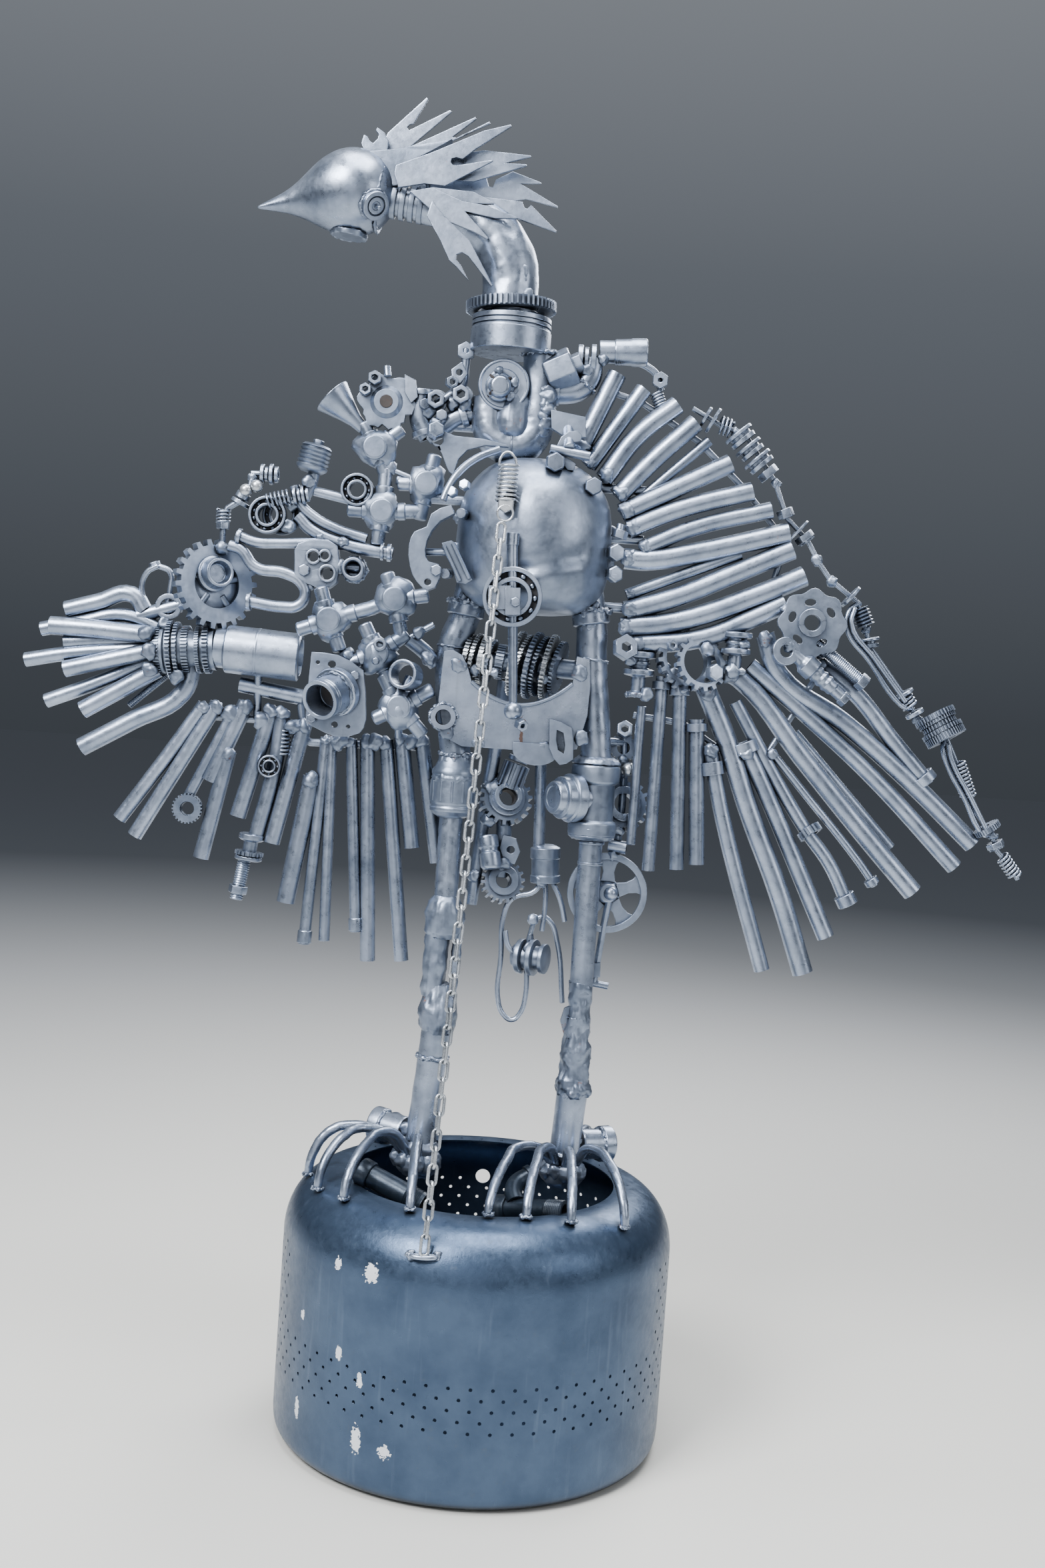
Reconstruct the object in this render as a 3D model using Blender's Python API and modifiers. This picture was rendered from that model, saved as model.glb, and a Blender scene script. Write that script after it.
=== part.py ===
# A bird about 1.6 m tall, welded up from scrap pipe, rings, gears and plate, standing on a washing machine's drum.
# Lengths are in millimetres and scaled by MM. The origin is the middle of the drum's underside. +X is to the
# right of someone who faces the bird's chest, +Z is up, and the chest looks along -Y.

import math

import bmesh
import bpy
from mathutils import Matrix, Vector

MM = 0.001
GAP = 0.3  # between neighbouring pieces, where the weld joins them
CRUMB = 40  # cubic millimetres: what a cut leaves loose below this is dropped
FLAT = math.radians(3)  # faces that turn less than this are one face

# Drum
DRUM_RADIUS = 240
DRUM_HEIGHT = 320
DRUM_WALL = 1.5
DRUM_FOOT_RADIUS = 22  # the rounding at the underside
DRUM_SHOULDER_DROP = 70
DRUM_SHOULDER_RUN = 60
DRUM_MOUTH_RADIUS = 165
DRUM_BACK_HOLE = 20
DRUM_BACK_HOLE_HEIGHT = 250
DRUM_SIDES = 24
EYE_INSET = 11  # of the chain's eye plate, from the drum's side
EYE_BEARING = 255.85  # degrees, seen from above

# Legs and feet
LEG_PIPE = 29
LEG_SLEEVE = 55
SHIN_PIPE = 37
HIP_PIPE = 38
CLAW_ROD = 11
SOLE_RISE = 25
SOLE_HEIGHT = DRUM_HEIGHT + SOLE_RISE  # where the shins end, above the ground
CLAW_ARCH = 28  # how far the claws rise above the soles
CLAW_SINK = 6  # how far a claw's tip runs into the drum before it is cut back
LEFT_ANKLE = 498
RIGHT_KNEE = 428
KNEE_TOP = 660
HIP_TOP = 840
SEAT = 2  # how far a piece runs into its neighbour before it is cut back to the gap
LEFT_HEEL_X = -80
RIGHT_HEEL_X = 100
LEFT_HIP_X = -68
RIGHT_HIP_X = 106

# Body
DOME_RADIUS = 95
DOME_X = 10
DOME_BOTTOM = 1020
DOME_HEIGHT = 186
CHAIN_WIRE = 4
CHAIN_PITCH = 24
CHAIN_LINK_WIDTH = 16

# Neck and head
COLUMN_PIPE = 42
PISTON_RADIUS = 49
PISTON_BOTTOM = 1338
PISTON_HEIGHT = 36
PISTON_BOSS = 6
COLLAR_GEAR_RADIUS = 55
COLLAR_GEAR_THICKNESS = 12
NECK_PIPE = 64
HEAD_RADIUS = 52
HEAD_CENTRE = (-236, 0, 1511)
BEAK_LENGTH = 119
EYE_RADIUS = 17
BLADE_THICKNESS = 4

# Wings
FRAME_ROD = 8
STRING_ROD = 8
SLEEVE_RADIUS = 27
CROSS_ARM = 19

LEFT, RIGHT, UP, TO_FRONT, TO_BACK = (-1, 0, 0), (1, 0, 0), (0, 0, 1), (0, -1, 0), (0, 1, 0)

SILVER = (0.62, 0.66, 0.72)
DARK_PIPE = (0.08, 0.11, 0.16)
DRUM_BLUE = (0.16, 0.22, 0.31)

for old in list(bpy.data.objects):
    bpy.data.objects.remove(old, do_unlink=True)

parts = bpy.data.collections.new("scrap_metal_bird")
cutters = bpy.data.collections.new("cutters")
cutters.hide_render = True
for collection in (parts, cutters):
    bpy.context.scene.collection.children.link(collection)


# Making and joining

def bodies(bm):
    """The mesh's faces, sorted into its separate bodies."""
    waiting = set(bm.faces)
    while waiting:
        body, edge = [], [waiting.pop()]
        while edge:
            face = edge.pop()
            body.append(face)
            near = {other for side in face.edges for other in side.link_faces} & waiting
            waiting -= near
            edge.extend(near)
        yield body


def volume(faces):
    """Volume in cubic millimetres inside these faces."""
    total = 0
    for face in faces:
        first, *rest = [v.co for v in face.verts]
        total += sum(first.dot(b.cross(c)) for b, c in zip(rest, rest[1:]))
    return abs(total) / 6 / MM**3


def clean(mesh):
    """Closes the seams and drops the splinters and crumbs that curves and Booleans leave."""
    bm = bmesh.new()
    bm.from_mesh(mesh)
    bmesh.ops.remove_doubles(bm, verts=bm.verts, dist=0.002 * MM)
    bmesh.ops.dissolve_degenerate(bm, dist=0.002 * MM, edges=bm.edges)
    crumbs = [face for body in bodies(bm) if volume(body) < CRUMB for face in body]
    bmesh.ops.delete(bm, geom=crumbs, context="FACES")
    bmesh.ops.recalc_face_normals(bm, faces=bm.faces)
    bm.to_mesh(mesh)
    bm.free()


def merge_flats(mesh):
    """Merges the faces that lie in one plane, where the surface stays closed without them."""
    bm = bmesh.new()
    bm.from_mesh(mesh)
    bmesh.ops.dissolve_limit(bm, angle_limit=FLAT, verts=bm.verts, edges=bm.edges)
    bmesh.ops.triangulate(bm, faces=bm.faces)
    bmesh.ops.dissolve_degenerate(bm, dist=0.002 * MM, edges=bm.edges)
    if all(edge.is_contiguous for edge in bm.edges) and all(face.calc_area() > 0 for face in bm.faces):
        bm.to_mesh(mesh)
    bm.free()


def settle(rough):
    """The object as it stands after its curve or modifiers, as a plain mesh."""
    bpy.context.view_layer.update()
    mesh = bpy.data.meshes.new_from_object(rough.evaluated_get(bpy.context.evaluated_depsgraph_get()))
    clean(mesh)
    solid = bpy.data.objects.new(rough.name + "_solid", mesh)
    parts.objects.link(solid)
    solid.matrix_world = rough.matrix_world.copy()
    name = rough.name
    bpy.data.objects.remove(rough, do_unlink=True)
    solid.name = name
    return solid


def aim(solid, base, direction, turn=0):
    """Moves a piece made on the Z axis so that it starts at base and runs along direction."""
    spin = Vector(direction).to_track_quat("Z", "Y").to_matrix().to_4x4() @ Matrix.Rotation(turn, 4, "Z")
    solid.matrix_world = Matrix.Translation(Vector(base) * MM) @ spin
    return solid


def tube(points, diameter, sides=8, widths=None, name="tube"):
    """A round bar or capped pipe along the points. widths scales the diameter at each of them."""
    curve = bpy.data.curves.new(name, "CURVE")
    curve.dimensions = "3D"
    curve.bevel_depth = diameter / 2 * MM
    curve.bevel_resolution = (sides - 4) // 2
    curve.use_fill_caps = True
    spline = curve.splines.new("POLY")
    spline.points.add(len(points) - 1)
    for i, (spot, place) in enumerate(zip(spline.points, points)):
        spot.co = (*(Vector(place) * MM), 1)
        spot.radius = widths[i] if widths else 1
    rough = bpy.data.objects.new(name, curve)
    parts.objects.link(rough)
    return settle(rough)


def rounded(points, steps=3):
    """The points of a smooth curve through the given ones."""
    ends = [Vector(p) for p in (points[0], *points, points[-1])]
    route = []
    for a, b, c, d in zip(ends, ends[1:], ends[2:], ends[3:]):
        for i in range(steps):
            t = i / steps
            route.append(0.5 * ((2 * b) + (c - a) * t + (2 * a - 5 * b + 4 * c - d) * t**2
                                + (3 * b - a - 3 * c + d) * t**3))
    return route + [ends[-1]]


def turned(profile, base, direction=UP, sides=12, ring=False, turn=0, name="turned"):
    """A turned piece from (distance along the axis, radius) pairs. A ring's profile is a closed loop."""
    loop = list(profile) if ring else [(profile[0][0], 0), *profile, (profile[-1][0], 0)]
    bm = bmesh.new()
    spots = [bm.verts.new((radius * MM, 0, height * MM)) for height, radius in reversed(loop)]
    for a, b in zip(spots, spots[1:]):
        bm.edges.new((a, b))
    if ring:
        bm.edges.new((spots[-1], spots[0]))
    mesh = bpy.data.meshes.new(name)
    bm.to_mesh(mesh)
    bm.free()
    rough = bpy.data.objects.new(name, mesh)
    parts.objects.link(rough)
    screw = rough.modifiers.new("Turn", "SCREW")
    screw.steps = screw.render_steps = sides
    screw.use_merge_vertices = True
    screw.merge_threshold = 0.00001
    return aim(settle(rough), base, direction, turn)


def washer(base, direction, outer, inner, thickness, sides=12):
    """A flat ring that starts at base and is as thick as stated along direction."""
    return turned([(0, inner), (0, outer), (thickness, outer), (thickness, inner)], base, direction, sides, ring=True)


def disc(base, direction, radius, thickness, sides=12):
    return turned([(0, radius), (thickness, radius)], base, direction, sides)


def nut(base, direction, across, thickness):
    return disc(base, direction, across / 2, thickness, sides=6)


def outline(loops, thickness, name="outline"):
    """A flat piece on the XY plane, middle at height 0. The loops after the first are its holes."""
    curve = bpy.data.curves.new(name, "CURVE")
    curve.dimensions = "2D"
    curve.fill_mode = "BOTH"
    curve.extrude = thickness / 2 * MM
    for loop in loops:
        spline = curve.splines.new("POLY")
        spline.points.add(len(loop) - 1)
        for spot, (x, y) in zip(spline.points, loop):
            spot.co = (x * MM, y * MM, 0, 1)
        spline.use_cyclic_u = True
    rough = bpy.data.objects.new(name, curve)
    parts.objects.link(rough)
    return settle(rough)


def circle(x, y, radius, count=12, squash=1):
    return [(x + radius * math.cos(2 * math.pi * i / count), y + squash * radius * math.sin(2 * math.pi * i / count))
            for i in range(count)]


def plate(loops, depth, thickness, name="plate"):
    """A flat piece that faces the front: its loops are (x, z) pairs and depth is the Y of its middle."""
    solid = outline(loops, thickness, name)
    solid.matrix_world = Matrix.Translation((0, depth * MM, 0)) @ Matrix.Rotation(math.pi / 2, 4, "X")
    return solid


def gear(centre, direction, tip, root, bore, thickness, teeth, name="gear"):
    """A gear whose teeth are plain points, centred on centre."""
    rim = []
    for i in range(teeth):
        for share, radius in ((0, root), (0.5, tip)):
            angle = 2 * math.pi * (i + share) / teeth
            rim.append((radius * math.cos(angle), radius * math.sin(angle)))
    loops = [rim, circle(0, 0, bore)] if bore else [rim]
    return aim(outline(loops, thickness, name), centre, direction)


def combine(solid, other, operation, solver="EXACT"):
    """One Boolean, settled. The other piece stays."""
    step = solid.modifiers.new(operation.title(), "BOOLEAN")
    step.operation = operation
    step.solver = solver
    step.object = other
    return settle(solid)


def fuse(name, pieces):
    """The pieces welded into one body."""
    whole = pieces[0]
    for piece in pieces[1:]:
        whole = combine(whole, piece, "UNION", "MANIFOLD")
        bpy.data.objects.remove(piece, do_unlink=True)
    whole.name = name
    return whole


def clear(solid, *neighbours):
    """Cuts a piece back so that it seats on its neighbours with the gap between them."""
    for neighbour in neighbours:
        grown = bpy.data.objects.new("grown", neighbour.data.copy())
        grown.matrix_world = neighbour.matrix_world.copy()
        cutters.objects.link(grown)
        bm = bmesh.new()
        bm.from_mesh(grown.data)
        places = [v.co + v.normal * GAP * MM * min(v.calc_shell_factor(), 2) for v in bm.verts]
        for v, place in zip(bm.verts, places):
            v.co = place
        bm.to_mesh(grown.data)
        bm.free()
        # A grown piece runs into itself at its inner corners, which the exact solver takes for its outside.
        solid = combine(solid, grown, "DIFFERENCE", "MANIFOLD")
        bpy.data.objects.remove(grown, do_unlink=True)
    return solid


def finish(solid, name, colour=SILVER, roughness=0.38, metallic=0.85):
    """Names a piece and gives it its own paint."""
    solid.name = solid.data.name = name
    merge_flats(solid.data)
    paint = bpy.data.materials.new(name + "_paint")
    paint.use_nodes = True
    shader = paint.node_tree.nodes["Principled BSDF"]
    shader.inputs["Base Color"].default_value = (*colour, 1)
    shader.inputs["Roughness"].default_value = roughness
    shader.inputs["Metallic"].default_value = metallic
    solid.data.materials.clear()
    solid.data.materials.append(paint)
    return solid


# Drum

def shoulder_height(radius):
    """Height of the drum's rounded shoulder at this distance from its axis."""
    out = max(0, radius - (DRUM_RADIUS - DRUM_SHOULDER_RUN)) / DRUM_SHOULDER_RUN
    return DRUM_HEIGHT - DRUM_SHOULDER_DROP * (1 - math.sqrt(max(0, 1 - out**2)))


def drum_profile():
    """(height, radius) down the drum's outside, from the middle of its underside to its mouth."""
    profile = []
    for i in range(3):
        angle = math.pi / 2 * i / 2
        profile.append((DRUM_FOOT_RADIUS * (1 - math.cos(angle)),
                        DRUM_RADIUS - DRUM_FOOT_RADIUS * (1 - math.sin(angle))))
    for i in range(4):
        angle = math.pi / 2 * i / 3
        profile.append((DRUM_HEIGHT - DRUM_SHOULDER_DROP * (1 - math.sin(angle)),
                        DRUM_RADIUS - DRUM_SHOULDER_RUN * (1 - math.cos(angle))))
    return profile + [(DRUM_HEIGHT, DRUM_MOUTH_RADIUS)]


def make_drum():
    """The sheet drum: closed below, open at its mouth."""
    bm = bmesh.new()
    spots = [bm.verts.new((radius * MM, 0, height * MM)) for height, radius in reversed([(0, 0)] + drum_profile())]
    for a, b in zip(spots, spots[1:]):
        bm.edges.new((a, b))
    mesh = bpy.data.meshes.new("drum")
    bm.to_mesh(mesh)
    bm.free()
    rough = bpy.data.objects.new("drum", mesh)
    parts.objects.link(rough)
    screw = rough.modifiers.new("Turn", "SCREW")
    screw.steps = screw.render_steps = DRUM_SIDES
    screw.use_merge_vertices = True
    screw.merge_threshold = 0.00001
    wall = rough.modifiers.new("Sheet", "SOLIDIFY")
    wall.thickness = DRUM_WALL * MM
    wall.offset = -1
    wall.use_even_offset = True
    drum = settle(rough)
    hole = disc((0, DRUM_RADIUS / 2, DRUM_BACK_HOLE_HEIGHT), TO_BACK, DRUM_BACK_HOLE / 2, DRUM_RADIUS, sides=10)
    drum = combine(drum, hole, "DIFFERENCE")
    bpy.data.objects.remove(hole, do_unlink=True)
    return finish(drum, "drum", DRUM_BLUE, 0.42, 0.5)


def on_shoulder(inset, bearing):
    """A point on the drum's shoulder, so far inside its side and at so many degrees."""
    radius, angle = DRUM_RADIUS - inset, math.radians(bearing)
    return Vector((radius * math.cos(angle), radius * math.sin(angle), shoulder_height(radius)))


def make_foot(side, heel_x, tips, peaks, drum):
    """Claw rods bent from the foot's hub out and down to the drum's shoulder, and a hub that the shin stands in."""
    hub_top = SOLE_HEIGHT - GAP
    pieces = [turned([(0, 20), (8, 29), (22, 29), (30, 25)], (heel_x, 0, hub_top - 30), UP, 8)]
    for (inset, bearing), (peak_x, peak_y, drop) in zip(tips, peaks):
        top = Vector((peak_x, peak_y, SOLE_HEIGHT + CLAW_ARCH - drop))
        tip = on_shoulder(inset, bearing) - Vector((0, 0, CLAW_SINK))
        start = Vector((heel_x, 0, hub_top - 30))
        pieces.append(tube(rounded([start, top, tip], 2), CLAW_ROD, 6))
    foot = clear(fuse(side + "_foot", pieces), drum)
    return finish(foot, side + "_foot")


def make_foot_pipe(side, start, end, radius, *neighbours):
    """The threaded pipe that lies across the drum's mouth under the claws: open at one end."""
    run = Vector(end) - Vector(start)
    length = run.length
    profile = [(0, radius), (0, radius + 2), (9, radius + 2), (9, radius), (length, radius),
               (length, radius - 4), (length * 0.5, radius - 4), (length * 0.5, 0.1)]
    pipe = turned(profile, start, run, 10)
    return finish(clear(pipe, *neighbours), side + "_foot_pipe", DARK_PIPE, 0.35, 0.7)


def make_leg_left():
    heel, knee, hip = (LEFT_HEEL_X, 0, SOLE_HEIGHT - SEAT), (LEFT_HIP_X, 0, KNEE_TOP), (LEFT_HIP_X, 0, HIP_TOP)
    shin = tube([heel, (LEFT_HIP_X, 0, LEFT_ANKLE + 12)], SHIN_PIPE, 10)
    waist = KNEE_TOP - LEFT_ANKLE
    ankle = turned([(0, 13), (20, 11), (60, 10), (82, 17), (waist - 12, 16), (waist - 4, 12)],
                   (LEFT_HIP_X, 0, LEFT_ANKLE), UP, 10)
    pipe = tube([(knee[0], 0, KNEE_TOP - 10), (hip[0], 0, HIP_TOP - 70)], LEG_PIPE, 10)
    sleeve = turned([(0, 17), (8, LEG_SLEEVE / 2), (58, LEG_SLEEVE / 2), (64, 22), (77, 21)],
                    (hip[0], 0, HIP_TOP - 77), UP, 12)
    return finish(fuse("left_leg", [shin, ankle, pipe, sleeve]), "left_leg")


def make_leg_right():
    shin = turned([(0, 22), (14, 22), (14, SHIN_PIPE / 2), (RIGHT_KNEE + 5 - SOLE_HEIGHT + SEAT, SHIN_PIPE / 2 + 1)],
                  (RIGHT_HEEL_X, 0, SOLE_HEIGHT - SEAT), (0.06, 0, 1), 10)
    knee = turned([(0, 20), (15, 23), (60, 21), (85, 13), (150, 10)], (RIGHT_HIP_X, 0, RIGHT_KNEE), UP, 8)
    blade = plate([[(84, 520), (92, 498), (112, 496), (116, 566), (98, 572)]], 0, 8)
    pipe = tube([(107, 0, 560), (106, 0, 760)], LEG_PIPE, 10)
    tee = turned([(0, 30), (18, 30), (20, 25), (64, 25), (68, 30), (HIP_TOP - 752, 30)],
                 (RIGHT_HIP_X, 0, 752), UP, 8)
    branch = turned([(0, 18), (30, 18), (30, 26), (44, 26), (44, 16), (54, 12)], (RIGHT_HIP_X, 0, 798),
                    (-1, -0.62, 0), 8)
    return finish(fuse("right_leg", [shin, knee, blade, pipe, tee, branch]), "right_leg")


def make_hip(side, points):
    hip = tube(rounded(points, 2), HIP_PIPE, 10)
    collar = turned([(0, 21), (10, 23), (18, 21)], points[1], Vector(points[0]) - Vector(points[1]), 10)
    return fuse(side + "_hip", [hip, collar])


# Body

def make_dome():
    r = DOME_RADIUS
    profile = [(0, 0.62 * r), (14, 0.92 * r), (40, r), (64, 0.95 * r), (72, r), (112, r), (146, 0.92 * r),
               (172, 0.66 * r), (DOME_HEIGHT, 0.3 * r)]
    return finish(turned(profile, (DOME_X, 0, DOME_BOTTOM), UP, 16), "body_dome")


def make_saddle(*neighbours):
    """The cradle plate in front of the hips, its top edge a sagging arc."""
    arc = [(-53 + 122 * t, 931 + 6 * t - 27 * 4 * t * (1 - t)) for t in (0, 0.2, 0.4, 0.6, 0.8, 1)]
    edge = [(-89, 966), (-66, 962), *arc, (72, 970), (88, 968), (90, 900), (80, 858), (50, 852), (-60, 852),
            (-82, 862), (-92, 905)]
    front = plate([edge], -HIP_PIPE / 2 - 5, 8)
    half_disc = plate([[(2 + 28 * (1 - math.cos(a)), 853 - 18 * math.sin(a))
                        for a in (0, 0.5, 1, 1.57, 2.14, 2.64, 3.14)] + [(58, 862), (2, 862)]], -HIP_PIPE / 2 - 5, 14)
    bracket = plate([[(44, 893), (72, 884), (76, 846), (60, 838), (46, 858)]], -HIP_PIPE / 2 - 14, 12)
    stub = turned([(0, 15), (26, 15), (26, 9), (14, 9)], (-84, -18, 886), TO_FRONT, 8)
    return finish(clear(fuse("saddle_plate", [front, half_disc, bracket, stub]), *neighbours), "saddle_plate")


def make_synchro_rings(*neighbours):
    """Gearbox rings packed on a shaft between the hips."""
    left = [(0, 12), (14, 12), (14, 30), (26, 30), (29, 24), (32, 30), (42, 30), (45, 24), (48, 30), (58, 28), (58, 12)]
    right = [(70, 12), (70, 32), (84, 37), (87, 30), (90, 37), (98, 37), (102, 30), (106, 37), (121, 32), (121, 12),
             (160, 12)]
    pack = turned(left + right, (-76, 6, 960), (1, 0, -0.04), 8)
    return finish(clear(pack, *neighbours), "synchro_rings")


def make_breast_rod(dome, *neighbours):
    """The rod down the middle of the chest, with the bearing clamped on it and a ball at its end."""
    y = -DOME_RADIUS - GAP - 6
    rod = tube([(-15, y, 1104), (-8, y, 1010), (0, y, 908)], 12, 8, (1.1, 1, 0.8))
    race = washer((-10, y + 8, 1032), TO_FRONT, 35, 19, 16, 12)
    clamp = plate([[(-20, 1040), (0, 1042), (2, 1012), (-18, 1010)]], y, 20)
    ball = turned([(0, 4), (6, 10), (14, 10), (20, 4)], (0, y, 896), UP, 6)
    hub = tube([(-19, y, 1032), (10, y, 1032), (30, y, 1032)], 9, 6)
    solid = fuse("breast_rod", [rod, race, clamp, ball, hub])
    return finish(clear(solid, dome, *neighbours), "breast_rod")


def make_dome_spring(dome):
    turns = 5
    profile = []
    for i in range(turns):
        profile += [(2 + 9 * i, 9.5), (6.5 + 9 * i, 12)]
    spring = turned([(0, 6)] + profile + [(48, 6)], (-26, -DOME_RADIUS + 2, 1141), UP, 6)
    bolt = nut((-25, -DOME_RADIUS - 2, 1139), TO_FRONT, 22, 12)
    hook = tube([(-25, -DOME_RADIUS - 8, 1139), (-30, -DOME_RADIUS - 14, 1126), (-27, -112, 1116)], 5, 4)
    return finish(clear(fuse("chest_spring", [spring, bolt, hook]), dome), "chest_spring")


def make_chain(top, bottom, *neighbours):
    """Links in one line, each a quarter turn from the last."""
    top, bottom = Vector(top), Vector(bottom)
    run = bottom - top
    count = int(run.length / CHAIN_PITCH)
    pitch = run.length / count
    half_w, wire = CHAIN_LINK_WIDTH / 2, CHAIN_WIRE
    half_l = pitch / 2 + wire * 0.94
    outer = [(-half_w, -half_l), (half_w, -half_l), (half_w, half_l), (-half_w, half_l)]
    inner = [(-half_w + wire, wire - half_l), (half_w - wire, wire - half_l),
             (half_w - wire, half_l - wire), (-half_w + wire, half_l - wire)]
    links = []
    for i in range(count):
        link = outline([outer, inner], wire)
        stand = Matrix.Rotation(math.pi / 2, 4, "X")
        quarter = Matrix.Rotation(math.pi / 2 * (i % 2) + 0.6, 4, "Z")
        lean = run.to_track_quat("-Z", "Y").to_matrix().to_4x4()
        link.matrix_world = Matrix.Translation((top + run * ((i + 0.5) / count)) * MM) @ lean @ quarter @ stand
        links.append(link)
    return finish(clear(fuse("chain", links), *neighbours), "chain")


def make_drum_eye(place, drum):
    """The eye plate welded on the drum's shoulder, which holds the chain's last link."""
    x, y, z = place
    ring = tube([(x + 15 * math.cos(a), y - 3 - 6 * math.sin(a), z) for a in
                 (0, 0.6, 1.2, 1.9, 2.5, math.pi)], 6, 6)
    foot = tube([(x - 18, y - 3, z - 1), (x + 18, y - 3, z - 1)], 8, 6)
    return finish(clear(fuse("drum_eye", [ring, foot]), drum), "drum_eye")


# Neck and head

def make_neck_base(dome):
    """A U bend on the dome, one arm open, the other carrying the neck."""
    arm = [(-54, 0, 1274), (-54, 0, 1246), (-44, 0, 1230), (-25, 0, 1222), (-7, 0, 1230), (3, 0, 1246),
           (3, 0, PISTON_BOTTOM - GAP)]
    bend = tube(arm, COLUMN_PIPE, 10)
    lip = turned([(0, 23), (8, 23)], (-54, 0, 1268), UP, 10)
    weld = turned([(0, 24), (12, 27), (22, 22)], (3, 0, 1268), UP, 10)
    return finish(clear(fuse("neck_base", [bend, lip, weld]), dome), "neck_base")


def make_piston():
    r, h = PISTON_RADIUS, PISTON_HEIGHT
    profile = [(0, r), (20, r), (22, r - 4), (24, r), (28, r), (30, r - 4), (32, r), (h, r), (h, 34),
               (h + PISTON_BOSS, 34)]
    return finish(turned(profile, (-35, 0, PISTON_BOTTOM), UP, 12), "neck_piston")


def make_collar_gear():
    z = PISTON_BOTTOM + PISTON_HEIGHT + PISTON_BOSS + GAP + COLLAR_GEAR_THICKNESS / 2
    r = COLLAR_GEAR_RADIUS
    return finish(gear((-37, 0, z), UP, r, r - 3, 0, COLLAR_GEAR_THICKNESS, 24), "collar_gear"), z


def make_neck(gear_top, head):
    """The pipe bend from the collar gear up and over to the back of the head, with the bellows rings."""
    route = [(-37, 0, gear_top + GAP), (-37, 0, 1418), (-46, 0, 1450), (-72, 0, 1478), (-108, 0, 1492),
             (-142, 0, 1498), (-196, 0, 1505)]
    bend = tube(route, NECK_PIPE, 10, (1, 0.98, 0.98, 0.92, 0.74, 0.56, 0.5))
    rings = [disc((-188 + 12 * i, 0, 1504 - 1.4 * i), (1, 0, -0.12), 22, 6, 8) for i in range(3)]
    return finish(clear(fuse("neck_pipe", [bend, *rings]), head), "neck_pipe")


def make_head():
    """A cone and a ball in one: the beak's tip is the start of the profile."""
    r = HEAD_RADIUS
    share = ((0, 0.03), (0.1, 0.14), (0.3, 0.36), (0.55, 0.62), (0.75, 0.82), (0.9, 0.95))
    profile = [(BEAK_LENGTH * a, r * b) for a, b in share]
    profile += [(BEAK_LENGTH + r * math.sin(a), r * math.cos(a)) for a in (0, 0.45, 0.8, 1.1, 1.35)]
    beak = Vector((-0.976, 0, -0.219)).normalized()
    tip = Vector(HEAD_CENTRE) + beak * BEAK_LENGTH
    head = turned(profile, tip, -beak, 12)
    chin = turned([(0, 21), (5, 22), (10, 17)], (-240, 0, 1456), (0.1, 0, 1), 8)
    return finish(fuse("head", [head, chin]), "head")


def make_eye(name, towards, head):
    way = Vector(towards).normalized()
    base = Vector(HEAD_CENTRE) + way * (HEAD_RADIUS - 5)
    r = EYE_RADIUS
    ring = turned([(0, r), (12, r), (12, r - 5), (9, r - 6), (9, 7), (12, 6)], base, way, 10)
    return finish(clear(ring, head), name)


def make_spanner(head):
    """The open jaws of a spanner that stand up on the crown."""
    x, z = -214, 1556
    jaws = [(x - 8, z - 6), (x + 8, z - 6), (x + 15, z + 10), (x + 17, z + 26), (x + 8, z + 28), (x + 7, z + 14),
            (x - 5, z + 14), (x - 7, z + 28), (x - 16, z + 24), (x - 15, z + 8)]
    return finish(clear(plate([jaws], 2, 9), head), "crown_spanner")


def make_blade(index, depth, base, tips, notch, head_and_neck):
    """A forked plate from the head or neck: two prongs with a V between them, and a rounded end to the V."""
    (ax, az), (bx, bz) = base
    (tx, tz), (ux, uz) = tips
    nx, nz = notch
    along = Vector(((tx + ux) / 2 - nx, (tz + uz) / 2 - nz)).normalized()
    edge = [(ax, az), (tx, tz), (nx - 3 * along.y, nz + 3 * along.x), (nx - 2 * along.x, nz - 2 * along.y),
            (nx + 3 * along.y, nz - 3 * along.x), (ux, uz), (bx, bz)]
    return finish(clear(plate([edge], depth, BLADE_THICKNESS), *head_and_neck), f"crest_blade_{index}")


# Right wing: (diameter, points from the outer end inwards)

UPPER_TUBES = (
    (20, (97, 0, 1316), (58, 0, 1222)),
    (18, (131, 0, 1300), (70, 0, 1203)),
    (20, (173, 0, 1284), (127, 0, 1243), (90, 0, 1188)),
    (20, (197, 0, 1264), (147, 0, 1214), (108, 0, 1168)),
    (12, (215, 4, 1244), (128, 4, 1160)),
    (20, (243, 0, 1218), (180, 0, 1184), (114, 0, 1149)),
    (20, (272, 0, 1186), (182, 0, 1157), (124, 0, 1130)),
    (18, (297, 0, 1165), (142, 0, 1107)),
    (22, (320, 0, 1139), (190, 0, 1101), (122, 0, 1094)),
    (14, (264, 4, 1110), (128, 4, 1050)),
    (21, (326, 0, 1119), (190, 0, 1052), (128, 0, 1030)),
    (22, (343, 0, 1088), (191, 0, 1022), (124, 0, 1010)),
    (20, (322, 0, 1053), (224, 0, 1004), (140, 0, 990)),
)
UPPER_OUTER_ROD = ((86, 1296), (128, 1286), (204, 1242), (262, 1190), (306, 1142), (312, 1100), (298, 1040))

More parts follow.
